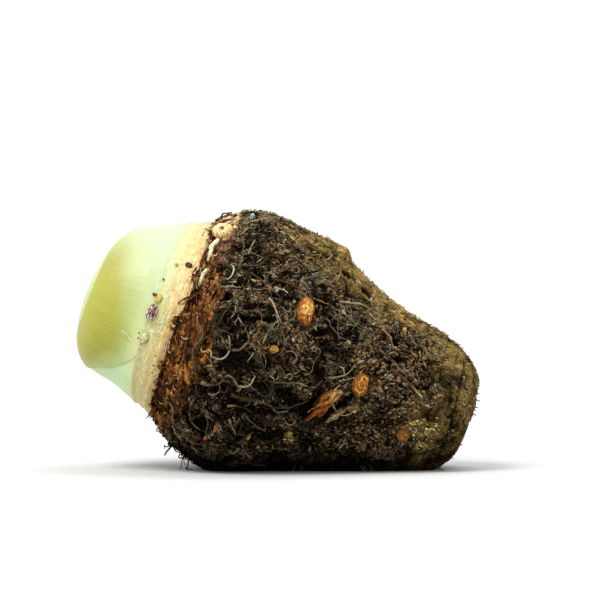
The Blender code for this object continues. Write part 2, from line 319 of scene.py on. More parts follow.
def relief(points):
    """Height of the rough bark over the CAD skin, in metres."""
    mat, olive = mat_share(points), olive_share(points)
    along = along_of(points)
    lumps = noise_at(points, 17 * MM, 1.0, 2)
    crumbs = noise_at(points, 4.2 * MM, 2.0, 3)
    wall = wall_at(points * (1.0, 1.0, 1.25), 3.4 * MM, 3.0)
    scar = np.sin(along / (9.5 * MM) * tau + 2.2 * lumps + 1.5 * np.sin(along / (31 * MM)))
    rough = 1.0 - 0.6 * olive
    height = 0.75 * lumps + rough * (0.75 * crumbs - 1.0 * smoothstep(0.22, 0.0, wall))
    height -= 0.55 * smoothstep(0.80, 0.99, scar + 0.15 * crumbs) * (0.35 + 0.65 * olive)
    hollow = smoothstep(0.10, 0.65, noise_at(points, 9.5 * MM, 9.0, 2))
    height -= hollow * (0.7 + 1.3 * mat) * (1 - 0.7 * olive)
    from_knob = np.hypot(points[:, 0] / MM - KNOB_AT[0], points[:, 2] / MM - KNOB_AT[1])
    height += 1.6 * bump_at(from_knob, 0, KNOB_WIDE)
    return height * MM - pit_depth(points)


# ---------------------------------------------------------------------------------------------
# Materials


class Look:
    """A material being built: its nodes are added by name and linked as they are made."""

    def __init__(self, name):
        self.material = bpy.data.materials.new(name)
        self.material.use_nodes = True
        self.tree = self.material.node_tree
        self.shader = self.tree.nodes["Principled BSDF"]
        self.place = self.node("ShaderNodeTexCoord").outputs["Object"]

    def node(self, kind, **settings):
        """A new node with these settings."""
        made = self.tree.nodes.new(kind)
        for key, value in settings.items():
            setattr(made, key, value)
        return made

    def link(self, source, target):
        """Feeds a socket from another node's output or with a plain value."""
        if isinstance(source, bpy.types.NodeSocket):
            self.tree.links.new(source, target)
        else:
            target.default_value = source

    def feed(self, made, **sources):
        """Feeds a node's sockets by name, spaces written as underscores: its first output."""
        for key, source in sources.items():
            self.link(source, made.inputs[key.replace("_", " ")])
        return made.outputs[0]

    def feed_in_order(self, made, *sources):
        """Feeds a node's first sockets: its first output."""
        for source, socket in zip(sources, made.inputs):
            self.link(source, socket)
        return made.outputs[0]

    def math(self, operation, a, b, clamp=False):
        """A number worked out from two others."""
        made = self.node("ShaderNodeMath", operation=operation, use_clamp=clamp)
        return self.feed_in_order(made, a, b)

    def times(self, a, b):
        """The product of two numbers."""
        return self.math("MULTIPLY", a, b)

    def vector_math(self, operation, *values):
        """A vector worked out from others."""
        return self.feed_in_order(self.node("ShaderNodeVectorMath", operation=operation), *values)

    def on_axis(self, origin=(0.0, 0.0, 0.0)):
        """Object coordinates from this origin, along the corm's own axes."""
        turned = self.node("ShaderNodeMapping", vector_type="TEXTURE")
        return self.feed(turned, Location=origin, Rotation=(0.0, LEAN, 0.0), Vector=self.place)

    def stretched(self, stretch):
        """Object coordinates scaled along the corm's own axes."""
        if stretch is None:
            return self.place
        return self.feed(self.node("ShaderNodeMapping"), Scale=stretch, Vector=self.on_axis())

    def fanned(self, radius, drawn):
        """Object coordinates with each place moved to this radius from the corm's axis and drawn
        together along it, so that noise there makes lines that run along the leaf stalks."""
        turned = self.on_axis(tuple(SHOULDER))
        across = self.vector_math("NORMALIZE", self.vector_math("MULTIPLY", turned, (0.0, 1.0, 1.0)))
        across = self.vector_math("MULTIPLY", across, (radius, radius, radius))
        along = self.vector_math("MULTIPLY", turned, (drawn, 0.0, 0.0))
        return self.vector_math("ADD", across, along)

    def noise(self, size, detail, roughness, stretch=None, place=None):
        """Noise from 0 to 1 whose lumps are this many metres across."""
        return self.feed(self.node("ShaderNodeTexNoise"), Scale=1.0 / size, Detail=detail,
                         Roughness=roughness, Vector=place or self.stretched(stretch))

    def swing(self, source, amount):
        """A source from 0 to 1, moved to swing evenly round 0 by half this amount."""
        return self.times(self.math("SUBTRACT", source, 0.5), amount)

    def ramp(self, source, *stops):
        """A colour or a number for each place along the source: (place, colour) and so on."""
        made = self.node("ShaderNodeValToRGB")
        elements = made.color_ramp.elements
        for i, (place, colour) in enumerate(stops):
            element = elements[i] if i < len(elements) else elements.new(place)
            element.position = place
            element.color = (*colour, 1.0) if isinstance(colour, tuple) else (colour,) * 3 + (1.0,)
        return self.feed(made, Fac=source)

    def mix(self, share, low, high, how="MIX"):
        """One colour to another by this share."""
        made = self.node("ShaderNodeMix", data_type="RGBA", blend_type=how)
        for socket, source in zip((made.inputs[0], made.inputs[6], made.inputs[7]), (share, low, high)):
            self.link((*source, 1.0) if isinstance(source, tuple) else source, socket)
        return made.outputs[2]

    def shaded(self, colour, by):
        """A colour multiplied by another."""
        return self.mix(1.0, colour, by, "MULTIPLY")

    def tint(self):
        """The outputs of the colour that the mesh's points hold."""
        return self.node("ShaderNodeAttribute", attribute_name="tint").outputs

    def zones(self):
        """The red, green, blue and alpha of the tint, for looks that keep shares in it."""
        tint = self.tint()
        split = self.node("ShaderNodeSeparateColor")
        self.link(tint["Color"], split.inputs[0])
        return (*split.outputs[:3], tint["Alpha"])

    def set(self, **values):
        """Feeds the shader's own sockets, spaces written as underscores."""
        self.feed(self.shader, **values)

    def bumped(self, height, depth, strength=1.0):
        """The material, its surface roughened by this source to this depth in metres."""
        made = self.node("ShaderNodeBump")
        normal = self.feed(made, Strength=strength, Distance=depth, Height=height)
        self.set(Normal=normal)
        return self.material


def bark_look():
    """Dry brown bark. The tint holds the painted shade of the hollows and the mat, the olive and amber
    shares of each place, and the painted shade near the ground and on the lower side."""
    look = Look("bark")
    height, olive, amber, low_side_shade = look.zones()
    grain = look.noise(1.3 * MM, 6.0, 0.7)
    broad = look.noise(11 * MM, 3.0, 0.6)
    brown = look.ramp(grain, (0.39, (0.002, 0.0015, 0.001)), (0.48, (0.042, 0.031, 0.017)),
                      (0.56, (0.175, 0.122, 0.063)), (0.68, (0.47, 0.34, 0.18)))
    red = look.ramp(grain, (0.39, (0.008, 0.004, 0.001)), (0.49, (0.130, 0.066, 0.026)),
                    (0.64, (0.52, 0.30, 0.12)))
    bark = look.mix(look.ramp(broad, (0.46, 0.0), (0.62, 0.7)), brown, red)
    streaks = look.noise(1.0 * MM, 6.0, 0.7, (0.55, 1.0, 0.85))
    smooth = look.ramp(streaks, (0.36, (0.050, 0.030, 0.008)), (0.46, (0.20, 0.130, 0.037)),
                       (0.56, (0.43, 0.295, 0.093)), (0.70, (0.72, 0.53, 0.21)))
    worn = look.ramp(look.noise(13 * MM, 5.0, 0.6), (0.36, 0.45), (0.50, 0.95), (0.64, 1.35))
    scuffed = look.ramp(look.noise(3.5 * MM, 5.0, 0.7), (0.50, 0.0), (0.66, 0.55))
    smooth = look.mix(scuffed, look.shaded(smooth, worn), brown)
    bark = look.mix(olive, bark, smooth)
    warm = look.ramp(look.noise(2.2 * MM, 5.0, 0.6), (0.3, (0.05, 0.012, 0.004)),
                     (0.5, (0.20, 0.070, 0.014)), (0.72, (0.48, 0.22, 0.05)))
    bark = look.mix(amber, bark, warm)
    # Painted shade: near black where the tint's first share is low, in the hollows and the mat's shaded
    # patches.
    bark = look.mix(look.ramp(height, (0.15, 0.92), (0.55, 0.0)), bark, (0.0012, 0.0010, 0.0006))
    # Painted shade near the ground and on the lower side.
    bark = look.mix(look.times(low_side_shade, 0.85), bark, (0.0016, 0.0013, 0.0009))
    look.set(Base_Color=bark, Roughness=look.ramp(grain, (0.3, 0.95), (0.8, 0.62)),
             Specular_IOR_Level=0.0)
    return look.bumped(look.noise(0.9 * MM, 6.0, 0.75), 0.7 * MM)


def tint_look(name, worn, stops, rough, depth, **sockets):
    """A material whose tint is its colour, worn by one noise and roughened by another."""
    look = Look(name)
    colour = look.shaded(look.tint()["Color"], look.ramp(look.noise(*worn), *stops))
    look.set(Base_Color=colour, **sockets)
    return look.bumped(look.noise(*rough), depth)


def fibre_look(name, roughness=0.8):
    """Roots and flakes, with darker joints and fine wrinkles."""
    return tint_look(name, (0.9 * MM, 4.0, 0.7), ((0.32, 0.35), (0.52, 0.95), (0.75, 1.35)),
                     (0.5 * MM, 3.0, 0.6), 0.15 * MM, Roughness=roughness, Specular_IOR_Level=0.0)


def flesh_look(name, roughness):
    """Fleshy scar tissue, worn in fine specks."""
    return tint_look(name, (0.7 * MM, 5.0, 0.7), ((0.36, 0.3), (0.48, 0.95), (0.66, 1.5)),
                     (0.6 * MM, 4.0, 0.7), 0.3 * MM, Roughness=roughness, Subsurface_Weight=0.08,
                     Subsurface_Scale=0.001, Subsurface_Radius=(1.0, 0.5, 0.2),
                     Specular_IOR_Level=0.06)


def scale_look():
    """Dry membrane with fine fibres along the axis."""
    return tint_look("papery_scale", (1.1 * MM, 6.0, 0.7, (1.0, 0.3, 0.3)),
                     ((0.36, 0.06), (0.48, 0.8), (0.64, 2.2)),
                     (0.9 * MM, 5.0, 0.65, (1.0, 0.35, 0.35)), 0.6 * MM, Roughness=0.55,
                     Specular_IOR_Level=0.08)


# ---------------------------------------------------------------------------------------------
# Corm skin


def build_corm_skin():
    """The bark: the CAD corm finely meshed, with hollows, crumbs, scar rings and pits."""
    points, faces, normals = remeshed(["corm"], VOXEL, 4)
    olive, pale = olive_share(points), pale_share(points)
    along = along_of(points) / MM
    height = relief(points)
    height *= smoothstep(-0.5, 3.0, along) * smoothstep(0.0, 2.5 * MM, points[:, 2])
    rough = points + normals * height[:, None]
    above_ground(rough, 0.0)
    rough[points[:, 2] < FLAT_BELOW, 2] = 0.0
    past = along - band_width(angle_of(points))
    amber = smoothstep(6, 0, past + 3 * noise_at(points, 8 * MM, 8.0, 2))
    # Painted shade: black in the hollows of the relief, with the mat's painted patches of light and shade.
    lit_share = np.clip(0.62 + height / (2.6 * MM), 0.0, 1.0) * np.clip(0.35 + 0.6 * gloom(points), 0, 1)
    # Painted shade near the ground and on the lower side, which is painted darker than the top.
    low_shade = np.maximum(ground_shade_share(rough), 0.62 * (1 - top_light_share(rough)))
    olive, low_shade, lit_share = np.maximum(olive, pale), low_shade * (1 - pale), np.maximum(lit_share, 0.9 * pale)
    tint = np.column_stack((lit_share, olive, amber, low_shade))
    add_piece("corm_skin", (rough, faces, tint), bark_look(), "bark", "corm")
    return BVHTree.FromPolygons(points.tolist(), faces)


# ---------------------------------------------------------------------------------------------
# Roots


def unit(vectors):
    """The vectors at length 1."""
    return vectors / np.maximum(np.linalg.norm(vectors, axis=-1, keepdims=True), 1e-12)


def random_places(skin_tree, count, density, tries):
    """Places on the skin, thinned by a density from 0 to 1 that depends on the point, from this
    many times as many tries."""
    low, high = -20 * MM, 138 * MM
    places, normals = [], []
    for share, turn in rng.uniform(size=(count * tries, 2)):
        centre = SHOULDER + AXIS * (low + (high - low) * share)
        out = TOP * cos(tau * turn) + FRONT * sin(tau * turn)
        hit, normal, _ = inward_hit(skin_tree, centre, out, FAR_OUTSIDE)
        if hit is not None:
            places.append(hit)
            normals.append(normal)
    places, normals = np.array(places), np.array(normals)
    keep = rng.uniform(size=len(places)) < density(places)
    return places[keep][:count], normals[keep][:count]


def comb(points, normals):
    """The way the roots lie: along the axis, and down the lower front towards the shoulder."""
    along, angle = along_of(points) / MM, np.abs(angle_of(points))
    droop = (1.0 - smoothstep(0, 30, along)) * smoothstep(radians(60), radians(120), angle)
    down = np.array((0.25, 0.0, -1.0))
    flow = AXIS * (1.0 - 0.8 * droop[:, None]) + down * (0.25 + 1.2 * droop[:, None])
    return unit(flow - normals * (flow * normals).sum(1)[:, None])


def walk(skin_tree, starts, normals, headings, steps, stride, curl):
    """Lines that wander over the smooth skin: arrays of points and of normals, root by step."""
    count = len(starts)
    line = np.empty((count, steps, 3))
    up = np.empty((count, steps, 3))
    bend = rng.normal(0, curl, count)
    turns = rng.normal(0, curl, (count, steps))
    for i in range(count):
        point, normal = Vector(starts[i]), Vector(normals[i])
        heading = Vector(headings[i])
        turn = bend[i]
        for k in range(steps):
            line[i, k], up[i, k] = point, normal
            turn = 0.82 * turn + 0.5 * turns[i, k]
            side = normal.cross(heading)
            heading = heading * cos(turn) + side * sin(turn)
            point, normal, _, _ = skin_tree.find_nearest(point + heading * stride[i])
            heading = (heading - normal * heading.dot(normal)).normalized()
    return line, up


def heights_along(line, lift):
    """Lifts each line over the rough bark, bridging its narrow hollows."""
    height = relief(line.reshape(-1, 3)).reshape(line.shape[:2])
    padded = np.pad(height, ((0, 0), (1, 1)), mode="edge")
    bridged = np.maximum(height, 0.5 * (padded[:, :-2] + padded[:, 2:]))
    return bridged + lift


def tubes(line, up, radius, sides):
    """Closed tubes round these lines, lifted clear of the ground: points, faces, and the share of
    the way along each point."""
    above_ground(line, radius + GROUND_GAP)
    count, steps = line.shape[:2]
    ahead = unit(np.gradient(line, axis=1))
    across = unit(np.cross(ahead, up))
    above = np.cross(across, ahead)
    turns = tau * np.arange(sides) / sides
    ring = (above[:, :, None] * np.cos(turns)[:, None] + across[:, :, None] * np.sin(turns)[:, None])
    points = line[:, :, None] + ring * radius[:, :, None, None]
    base = (np.arange(count) * steps * sides)[:, None, None]
    k = np.arange(steps - 1)[None, :, None] * sides
    j = np.arange(sides)
    after = (j + 1) % sides
    sheets = (base + k + j, base + k + after, base + k + sides + after, base + k + sides + j)
    quads = np.stack(np.broadcast_arrays(*sheets), axis=-1).reshape(-1, 4)
    near = base[:, 0] + j[::-1]
    far = base[:, 0] + (steps - 1) * sides + j
    faces = quads.tolist() + near.tolist() + far.tolist()
    share = np.broadcast_to(np.linspace(0, 1, steps)[None, :, None], points.shape[:3])
    return points.reshape(-1, 3), faces, share.reshape(-1)


# Colours that fibres are drawn from, with how common each is on the mat and on the bare bark.
BARK_PALETTE = np.array((
    (0.0015, 0.0018, 0.0013, 0.20, 0.12), (0.014, 0.0135, 0.010, 0.17, 0.10),
    (0.058, 0.053, 0.032, 0.18, 0.09), (0.135, 0.116, 0.065, 0.13, 0.06),
    (0.23, 0.192, 0.112, 0.07, 0.04), (0.34, 0.285, 0.175, 0.02, 0.02),
    (0.072, 0.044, 0.030, 0.10, 0.14), (0.19, 0.108, 0.048, 0.05, 0.18),
    (0.092, 0.080, 0.040, 0.06, 0.08), (0.19, 0.125, 0.052, 0.02, 0.15),
))
BAND_PALETTE = np.array((
    (0.026, 0.010, 0.006, 0.30, 0.30), (0.055, 0.017, 0.010, 0.30, 0.30),
    (0.13, 0.044, 0.013, 0.18, 0.18), (0.30, 0.155, 0.045, 0.12, 0.12),
    (0.46, 0.32, 0.14, 0.10, 0.10),
))
PALE_PALETTE = np.array((
    (0.36, 0.240, 0.072, 0.4, 0.4), (0.60, 0.430, 0.135, 0.35, 0.35), (0.78, 0.62, 0.26, 0.25, 0.25),
))
GRIT_PALETTE = np.array(((0.34, 0.37, 0.36, 0.5, 0.5), (0.50, 0.47, 0.40, 0.5, 0.5)))


def fibre_tint(places, share, palette):
    """A colour for each tube, from the mix of its place, a little paler towards the tip, with painted
    light and shade.
    """
    mat = mat_share(places)
    pick = rng.uniform(size=len(places))
    weights = mat[:, None] * palette[:, 3] + (1 - mat[:, None]) * palette[:, 4]
    weights /= weights.sum(1, keepdims=True)
    index = (np.cumsum(weights, axis=1) < pick[:, None]).sum(1).clip(0, len(palette) - 1)
    colour = palette[index, :3] * rng.uniform(0.75, 1.3, (len(places), 1))
    if palette is BARK_PALETTE:
        # Painted light and shade: the mat's patches of light and shade, fainter on bare bark.
        shade = mat * gloom(places) + (1 - mat) * (0.45 + 0.6 * gloom(places))
        sunk = relief(places) / MM
        # Painted shade: darker in the hollows of the bark.
        shade = shade * (0.30 + 0.70 * smoothstep(-1.8, -0.1, sunk))
        # Painted light: paler towards the top.
        top_light = top_light_share(places)
        colour *= (shade * (1.90 + 0.80 * top_light + 1.5 * top_light**2))[:, None]
        colour *= np.minimum(1, 0.30 / np.maximum(colour.max(1), 1e-6))[:, None] ** 0.75
    # Painted shade: darker towards the ground.
    colour *= (1.0 - 0.93 * ground_shade_share(places))[:, None]
    paler = 0.92 + 0.2 * share.reshape(len(places), -1)
    return (colour[:, None, :] * paler[:, :, None]).reshape(-1, 3)


def scattered(skin_tree, count, density, stray, tries):
    """Places for chips or roots, with the surface's normal and the way each one lies."""
    places, normals = random_places(skin_tree, count, density, tries)
    swirl = 1.5 * noise_at(places, 15 * MM, 41.0, 2)[:, None]
    headings = comb(places, normals)
    headings = headings * np.cos(swirl) + np.cross(normals, headings) * np.sin(swirl)
    headings += stray * rng.normal(size=places.shape)
    return places, normals, unit(headings - normals * (headings * normals).sum(1)[:, None])


def build_roots(skin_tree, name, count, length, thick, steps, sides, curl, lift, density, stray=0.3,
                palette=BARK_PALETTE, proud=0.1, tries=3):
    """A batch of roots of these lengths and thicknesses, each a (low, high) range in mm, that rise
    up to this lift and start this proud of the bark, both in mm."""
    places, normals, headings = scattered(skin_tree, count, density, stray, tries)
    size = rng.uniform(*length, len(places)) * MM
    line, up = walk(skin_tree, places, normals, headings, steps, size / (steps - 1), curl)
    share = np.linspace(0, 1, steps)[None, :]
    arch = np.sin(pi * share) * rng.uniform(0.0, lift, (len(places), 1))
    tip = share**2 * rng.uniform(-0.4, lift, (len(places), 1))
    height = heights_along(line, (arch + tip - 0.25 * (1 - share) ** 2 + proud) * MM)
    line = line + up * height[:, :, None]
    width = rng.uniform(*thick, (len(places), 1)) / 2 * MM
    radius = width * (1.0 - 0.65 * share**1.5) * (1 + 0.12 * rng.normal(size=line.shape[:2]).clip(-2, 2))
    points, faces, along = tubes(line, up, radius, sides)
    tint = fibre_tint(places, along, palette)
    add_piece(name, (points, faces, tint), fibre_look(name + "_fibre"), "root")


def build_chips(skin_tree, name, count, length, width, lift, density, stray,
                palette=BARK_PALETTE, tries=3):
    """Loose crumbs and flakes of bark, each a thin bent lens. Sizes are (low, high) in mm."""
    places, normals, ahead = scattered(skin_tree, count, density, stray, tries)
    count, rim = len(places), 8
    tilt = rng.normal(0, 0.32, (count, 1))
    roll = rng.normal(0, 0.35, (count, 1))
    along = unit(ahead + normals * tilt)
    across = unit(np.cross(normals, ahead) + normals * roll)
    above = unit(np.cross(along, across))
    half_long = (rng.uniform(*length, count) / 2 * MM)[:, None]
    half_wide = (rng.uniform(*width, count) / 2 * MM)[:, None]
    height = relief(places)
    height += rng.uniform(*lift, count) * MM
    centre = places + normals * height[:, None]
    turns = tau * np.arange(rim) / rim
    ragged = rng.uniform(0.65, 1.15, (count, rim))
    bend = rng.uniform(-0.5, 0.3, (count, 1))
    x = np.cos(turns) * ragged * half_long
    y = np.sin(turns) * ragged * half_wide
    z = bend * (x * x) / half_long + rng.normal(0, 0.06, (count, rim)) * MM
    points = (centre[:, None] + x[:, :, None] * along[:, None] + y[:, :, None] * across[:, None]
              + z[:, :, None] * above[:, None])
    thick = rng.uniform(0.10, 0.28, (count, 1)) * MM
    tips = (centre + above * thick)[:, None], (centre - above * thick)[:, None]
    points = np.concatenate((points, *tips), 1).reshape(-1, 3)
    above_ground(points, GROUND_GAP)
    base = np.arange(count)[:, None] * (rim + 2)
    j = np.arange(rim)[None, :]
    after = (j + 1) % rim
    faces = []
    for sheets in ((base + j, base + after, base + rim), (base + after, base + j, base + rim + 1)):
        faces += np.stack(np.broadcast_arrays(*sheets), -1).reshape(-1, 3).tolist()
    tint = fibre_tint(places, np.full(count * (rim + 2), 0.3), palette)
    add_piece(name, (points, faces, tint), fibre_look(name + "_flake", 0.85), "bark")


def grid_faces(rows, columns, round_again=True):
    """Quads of a grid of points, in row order, whose columns may close round."""
    i = np.arange(rows - 1)[:, None] * columns
    j = np.arange(columns if round_again else columns - 1)[None, :]
    after = (j + 1) % columns
    sheets = (i + j, i + after, i + columns + after, i + columns + j)
    return np.stack(np.broadcast_arrays(*sheets), -1).reshape(-1, 4).tolist()


def capped_faces(rows, columns):
    """Faces of a round grid of points, of a point past its last row and of one past its first."""
    last, pole = (rows - 1) * columns, rows * columns
    faces = grid_faces(rows, columns)
    faces += [[last + j, last + (j + 1) % columns, pole] for j in range(columns)]
    faces += [[(j + 1) % columns, j, pole + 1] for j in range(columns)]
    return faces


def grid_rim(rows, columns):
    """The pairs of neighbours round the border of a grid of points."""
    rim = list(range(columns)) + [i * columns + columns - 1 for i in range(1, rows)]
    rim += [(rows - 1) * columns + j for j in range(columns - 2, -1, -1)]
    rim += [i * columns for i in range(rows - 2, 0, -1)]
    return list(zip(rim, rim[1:] + rim[:1]))


def sighted(tree, origins, directions):
    """How far from each origin, in its direction, the tree's outer surface lies, or 0."""
    out = np.zeros(origins.shape[:-1])
    for index in np.ndindex(out.shape):
        origin, direction = Vector(origins[index]), Vector(directions[index])
        hit, _, _, distance = tree.ray_cast(origin + direction * OUTSIDE, -direction, OUTSIDE)
        out[index] = OUTSIDE - distance if hit is not None else 0.0
    return out


def blurred(values, rows, columns):
    """A grid whose columns close round, softened by these many rows and columns."""
    wrap, mirror = {"mode": "wrap"}, {"mode": "reflect", "reflect_type": "odd"}
    for axis, width, how in ((1, columns, wrap), (0, rows, mirror)):
        if width:
            size = 3 * width
            weights = np.exp(-0.5 * (np.arange(-size, size + 1) / width) ** 2)
            border = [(size, size) if axis == i else (0, 0) for i in range(2)]
            padded = np.pad(values, border, **how)
            values = np.apply_along_axis(np.convolve, axis, padded, weights / weights.sum(), "valid")
    return values


RING_EDGE, RING_SLANT = 8.5 * MM, 5.5 * MM  # the ring's width, and how much more at the front
FAN_AT = -22 * MM  # past here the stub's end is sighted from one point on the axis
FILLED_TO = -19 * MM  # from the ring to here the stub's surface is one slope


def ring_edge(angles):
    """Where the ring of leaf bases meets the stub, along the axis."""
    return -RING_EDGE - RING_SLANT * np.sin(angles)


def ring_creep(angles):
    """How far the ring creeps over the bark, more on its upper half."""
    turned = from_top(angles)
    return (2.8 * smoothstep(1.70, 1.0, turned) + 1.3 * smoothstep(2.5, 3.0, turned)) * MM


def band_width(angles):
    """Width of the band of papery scales beside the ring, widest at the front and back."""
    return 6.0 + 7.5 * bump_at(from_top(angles), 1.75, 0.6)


def stub_rays(angles, straight, fan):
    """Origins on the axis and directions outward: rows square to the axis from the ring's edge,
    and then rows that fan round to the middle of the cut end."""
    edge = ring_edge(angles)
    share = np.linspace(0, 1, straight, endpoint=False)[:, None]
    along = edge + (FAN_AT - edge) * share
    tilt = np.linspace(0, pi / 2, fan)[:, None] * np.ones_like(angles)
    along = np.concatenate((along, np.full_like(tilt, FAN_AT)))
    tilt = np.concatenate((np.zeros((straight, len(angles))), tilt))
    origins = SHOULDER + along[..., None] * AXIS
    out = np.broadcast_to(outward(angles), origins.shape)
    return origins, out * np.cos(tilt)[..., None] - np.sin(tilt)[..., None] * AXIS


SHEATH_PROUD = 0.35 * MM
STUB_COLUMNS, STUB_STRAIGHT, STUB_FAN = 216, 26, 56
SHEATH_FROM, SHEATH_TO = 45, 55  # rows over which the sheath rounds the rim of the cut end
SHEATH_SHUT = 43  # from this row its two margins meet below the cut end


def stub_surface():
    """The stub's smooth surface without the sheath's step: rays, distances, and the sheath."""
    angles = tau * np.arange(STUB_COLUMNS) / STUB_COLUMNS
    origins, directions = stub_rays(angles, STUB_STRAIGHT, STUB_FAN)
    distance = sighted(node_tree("inner_leaf_stalk", "outer_leaf_sheath"), origins, directions)
    sheath = sighted(node_tree("outer_leaf_sheath"), origins, directions)
    covered = (sheath > distance - 0.05 * MM).astype(float)
    covered[SHEATH_FROM:SHEATH_TO] = covered[SHEATH_FROM - 1]
    covered[SHEATH_TO:] = 0.0
    distance = blurred(distance - SHEATH_PROUD * covered, 2, 5)
    covered[SHEATH_SHUT:SHEATH_TO] = 1.0
    edge = ring_edge(angles)
    ring = sighted(node_tree("leaf_base_ring"), origins[0] + 2.0 * MM * AXIS, directions[0])
    ring = blurred(ring[None], 0, 6)[0] - 0.5 * MM
    along = (origins[:STUB_STRAIGHT] - SHOULDER) @ AXIS
    met = np.array([np.interp(-FILLED_TO, -line, far) for line, far in
                    zip(along.T, distance[:STUB_STRAIGHT].T)])
    share = np.clip((along - edge) / (FILLED_TO - edge), 0, 1)
    filled = np.maximum(distance[:STUB_STRAIGHT], ring + (met - ring) * share)
    distance[:STUB_STRAIGHT] = np.where(along > FILLED_TO, filled, distance[:STUB_STRAIGHT])
    distance = blurred(distance, 2, 3)
    return angles, origins, directions, distance, blurred(covered, 1, 2)


def waxy_look(name, pale, deep):
    """Moist leaf stalk. The tint holds how deep its colour is, its stains, how grey it is and how
    much it is streaked with the ring's cream."""
    look = Look(name)
    shade, stain, grey, cream = look.zones()
    mottle = look.swing(look.noise(7 * MM, 4.0, 0.55), 0.22)
    flesh = look.mix(look.math("ADD", shade, mottle, True), pale, deep)
    fan = look.fanned(30 * MM, 0.05)
    veins = look.ramp(look.noise(0.7 * MM, 2.0, 0.5, place=fan), (0.42, 0.965), (0.60, 1.06))
    flesh = look.shaded(flesh, veins)
    specks = look.ramp(look.noise(1.6 * MM, 5.0, 0.7), (0.47, 0.0), (0.61, 1.0))
    flesh = look.mix(look.times(stain, specks), flesh, (0.28, 0.17, 0.05))
    flesh = look.mix(grey, flesh, (0.44, 0.50, 0.34))
    threads = look.ramp(look.noise(1.5 * MM, 5.0, 0.65, (1.0, 0.3, 0.3)), (0.38, 0.45), (0.60, 1.0))
    flesh = look.mix(look.times(cream, threads), flesh, (0.60, 0.56, 0.26))
    look.set(Base_Color=flesh, Roughness=0.48, Subsurface_Weight=0.25, Subsurface_Scale=0.004,
             Subsurface_Radius=(0.9, 1.0, 0.4), Specular_IOR_Level=0.35, Coat_Weight=0.05,
             Coat_Roughness=0.35)
    return look.bumped(look.noise(0.7 * MM, 3.0, 0.5, place=fan), 0.12 * MM, 0.8)


# The rolled layers of the cut end: how far their middle is below the axis, and their pitch. In mm.
ROLL_DROP, ROLL_PITCH = 4.5, 5.2
CUT_FROM, CUT_TO = -41.0, -43.5  # mm along the axis, where the stub's side turns into its cut end
DEEPER_AT, DEEPER_WIDE = (-77, 61), 13  # a deeper-coloured place on the front: X, Z and size, in mm


def cut_layers(points):
    """1 on the line that winds between the rolled leaf bases of the cut end."""
    from_axis = points - SHOULDER
    up, across = from_axis @ TOP / MM + ROLL_DROP, from_axis[..., 1] / MM
    waver = noise_at(points.reshape(-1, 3), 9 * MM, 24.0, 2).reshape(up.shape)
    turns = (np.hypot(up, across) + 1.3 * waver) / ROLL_PITCH + np.arctan2(across, up) / tau
    return bump_at(np.abs(turns - np.round(turns)) * ROLL_PITCH, 0, 0.7)


def stub_tint(points):
    """Deep olive-yellow on the front near the cut end, pale by the ring and on top."""
    along, angles = along_of(points) / MM, angle_of(points)
    deep = smoothstep(-10, -36, along) * (0.30 + 0.85 * bump_at(angles, 1.75, 0.95))
    deep += 0.30 * smoothstep(-24, -38, along)
    stain = 0.9 * bump_at(along, -36, 4) * bump_at(angles, 0.95, 0.30)
    across, up = points[:, 0] / MM - DEEPER_AT[0], points[:, 2] / MM - DEEPER_AT[1]
    reach = np.hypot(across, 1.5 * up) / DEEPER_WIDE + 0.25 * noise_at(points, 7 * MM, 25.0, 3)
    deep += 0.25 * smoothstep(1.15, 0.80, reach) * (points[:, 1] < 0)
    face = smoothstep(CUT_FROM, CUT_TO, along)
    layers = cut_layers(points)
    stain += face * (0.45 + 0.55 * layers)
    grey = 0.95 * smoothstep(-44, -26, along) * bump_at(angles, 0.1, 0.85)
    grey += 0.45 * smoothstep(-34, -12, along) * bump_at(angles, 0.95, 0.55)
    deep = deep * (1 - 0.45 * face) + 0.35 * face * layers
    by_ring = smoothstep(-5.5, -0.5, along - ring_edge(angles) / MM)
    by_ring = by_ring * smoothstep(1.4, 2.1, from_top(angles))
    return np.column_stack((deep, stain, np.clip(grey, 0, 0.95), 0.8 * by_ring))


BACK_WIDE, BACK_AT = 37.3, 0.4  # radius of the stub's hidden back, and its place along the axis, mm


def build_stub():
    """The stub of leaf stalks in two closed pieces: the inner stalk and the sheath round it."""
    angles, origins, directions, distance, covered = stub_surface()
    sunk = 1.5 * MM * smoothstep(0.5, 0.95, covered)
    outer = origins + directions * (distance - sunk)[..., None]
    depth = along_of(outer.reshape(-1, 3)).reshape(outer.shape[:2]) / MM
    raised = 0.7 * MM * cut_layers(outer) * smoothstep(CUT_FROM, CUT_TO, depth)
    outer = outer + raised[..., None] * AXIS
    tuck = origins[0] + AXIS * 1.0 * MM + directions[0] * (distance[0] - 0.6 * MM)[:, None]
    inner = SHOULDER + outward(angles) * BACK_WIDE * MM - AXIS * BACK_AT * MM
    points = np.concatenate((inner[None], tuck[None], outer[:-1])).reshape(-1, 3)
    points = np.concatenate((points, outer[-1, :1], (SHOULDER - AXIS * BACK_AT * MM)[None]))
    tint = stub_tint(points)
    tint[:, 0] *= 0.5
    look = waxy_look("stalk", (0.51, 0.68, 0.365), (0.38, 0.44, 0.12))
    made = points, capped_faces(len(distance) + 1, STUB_COLUMNS), tint
    add_piece("stalk_skin", made, look, "stalk", "inner_leaf_stalk")
    build_sheath(angles, origins, directions, distance, covered)
    return distance[0]


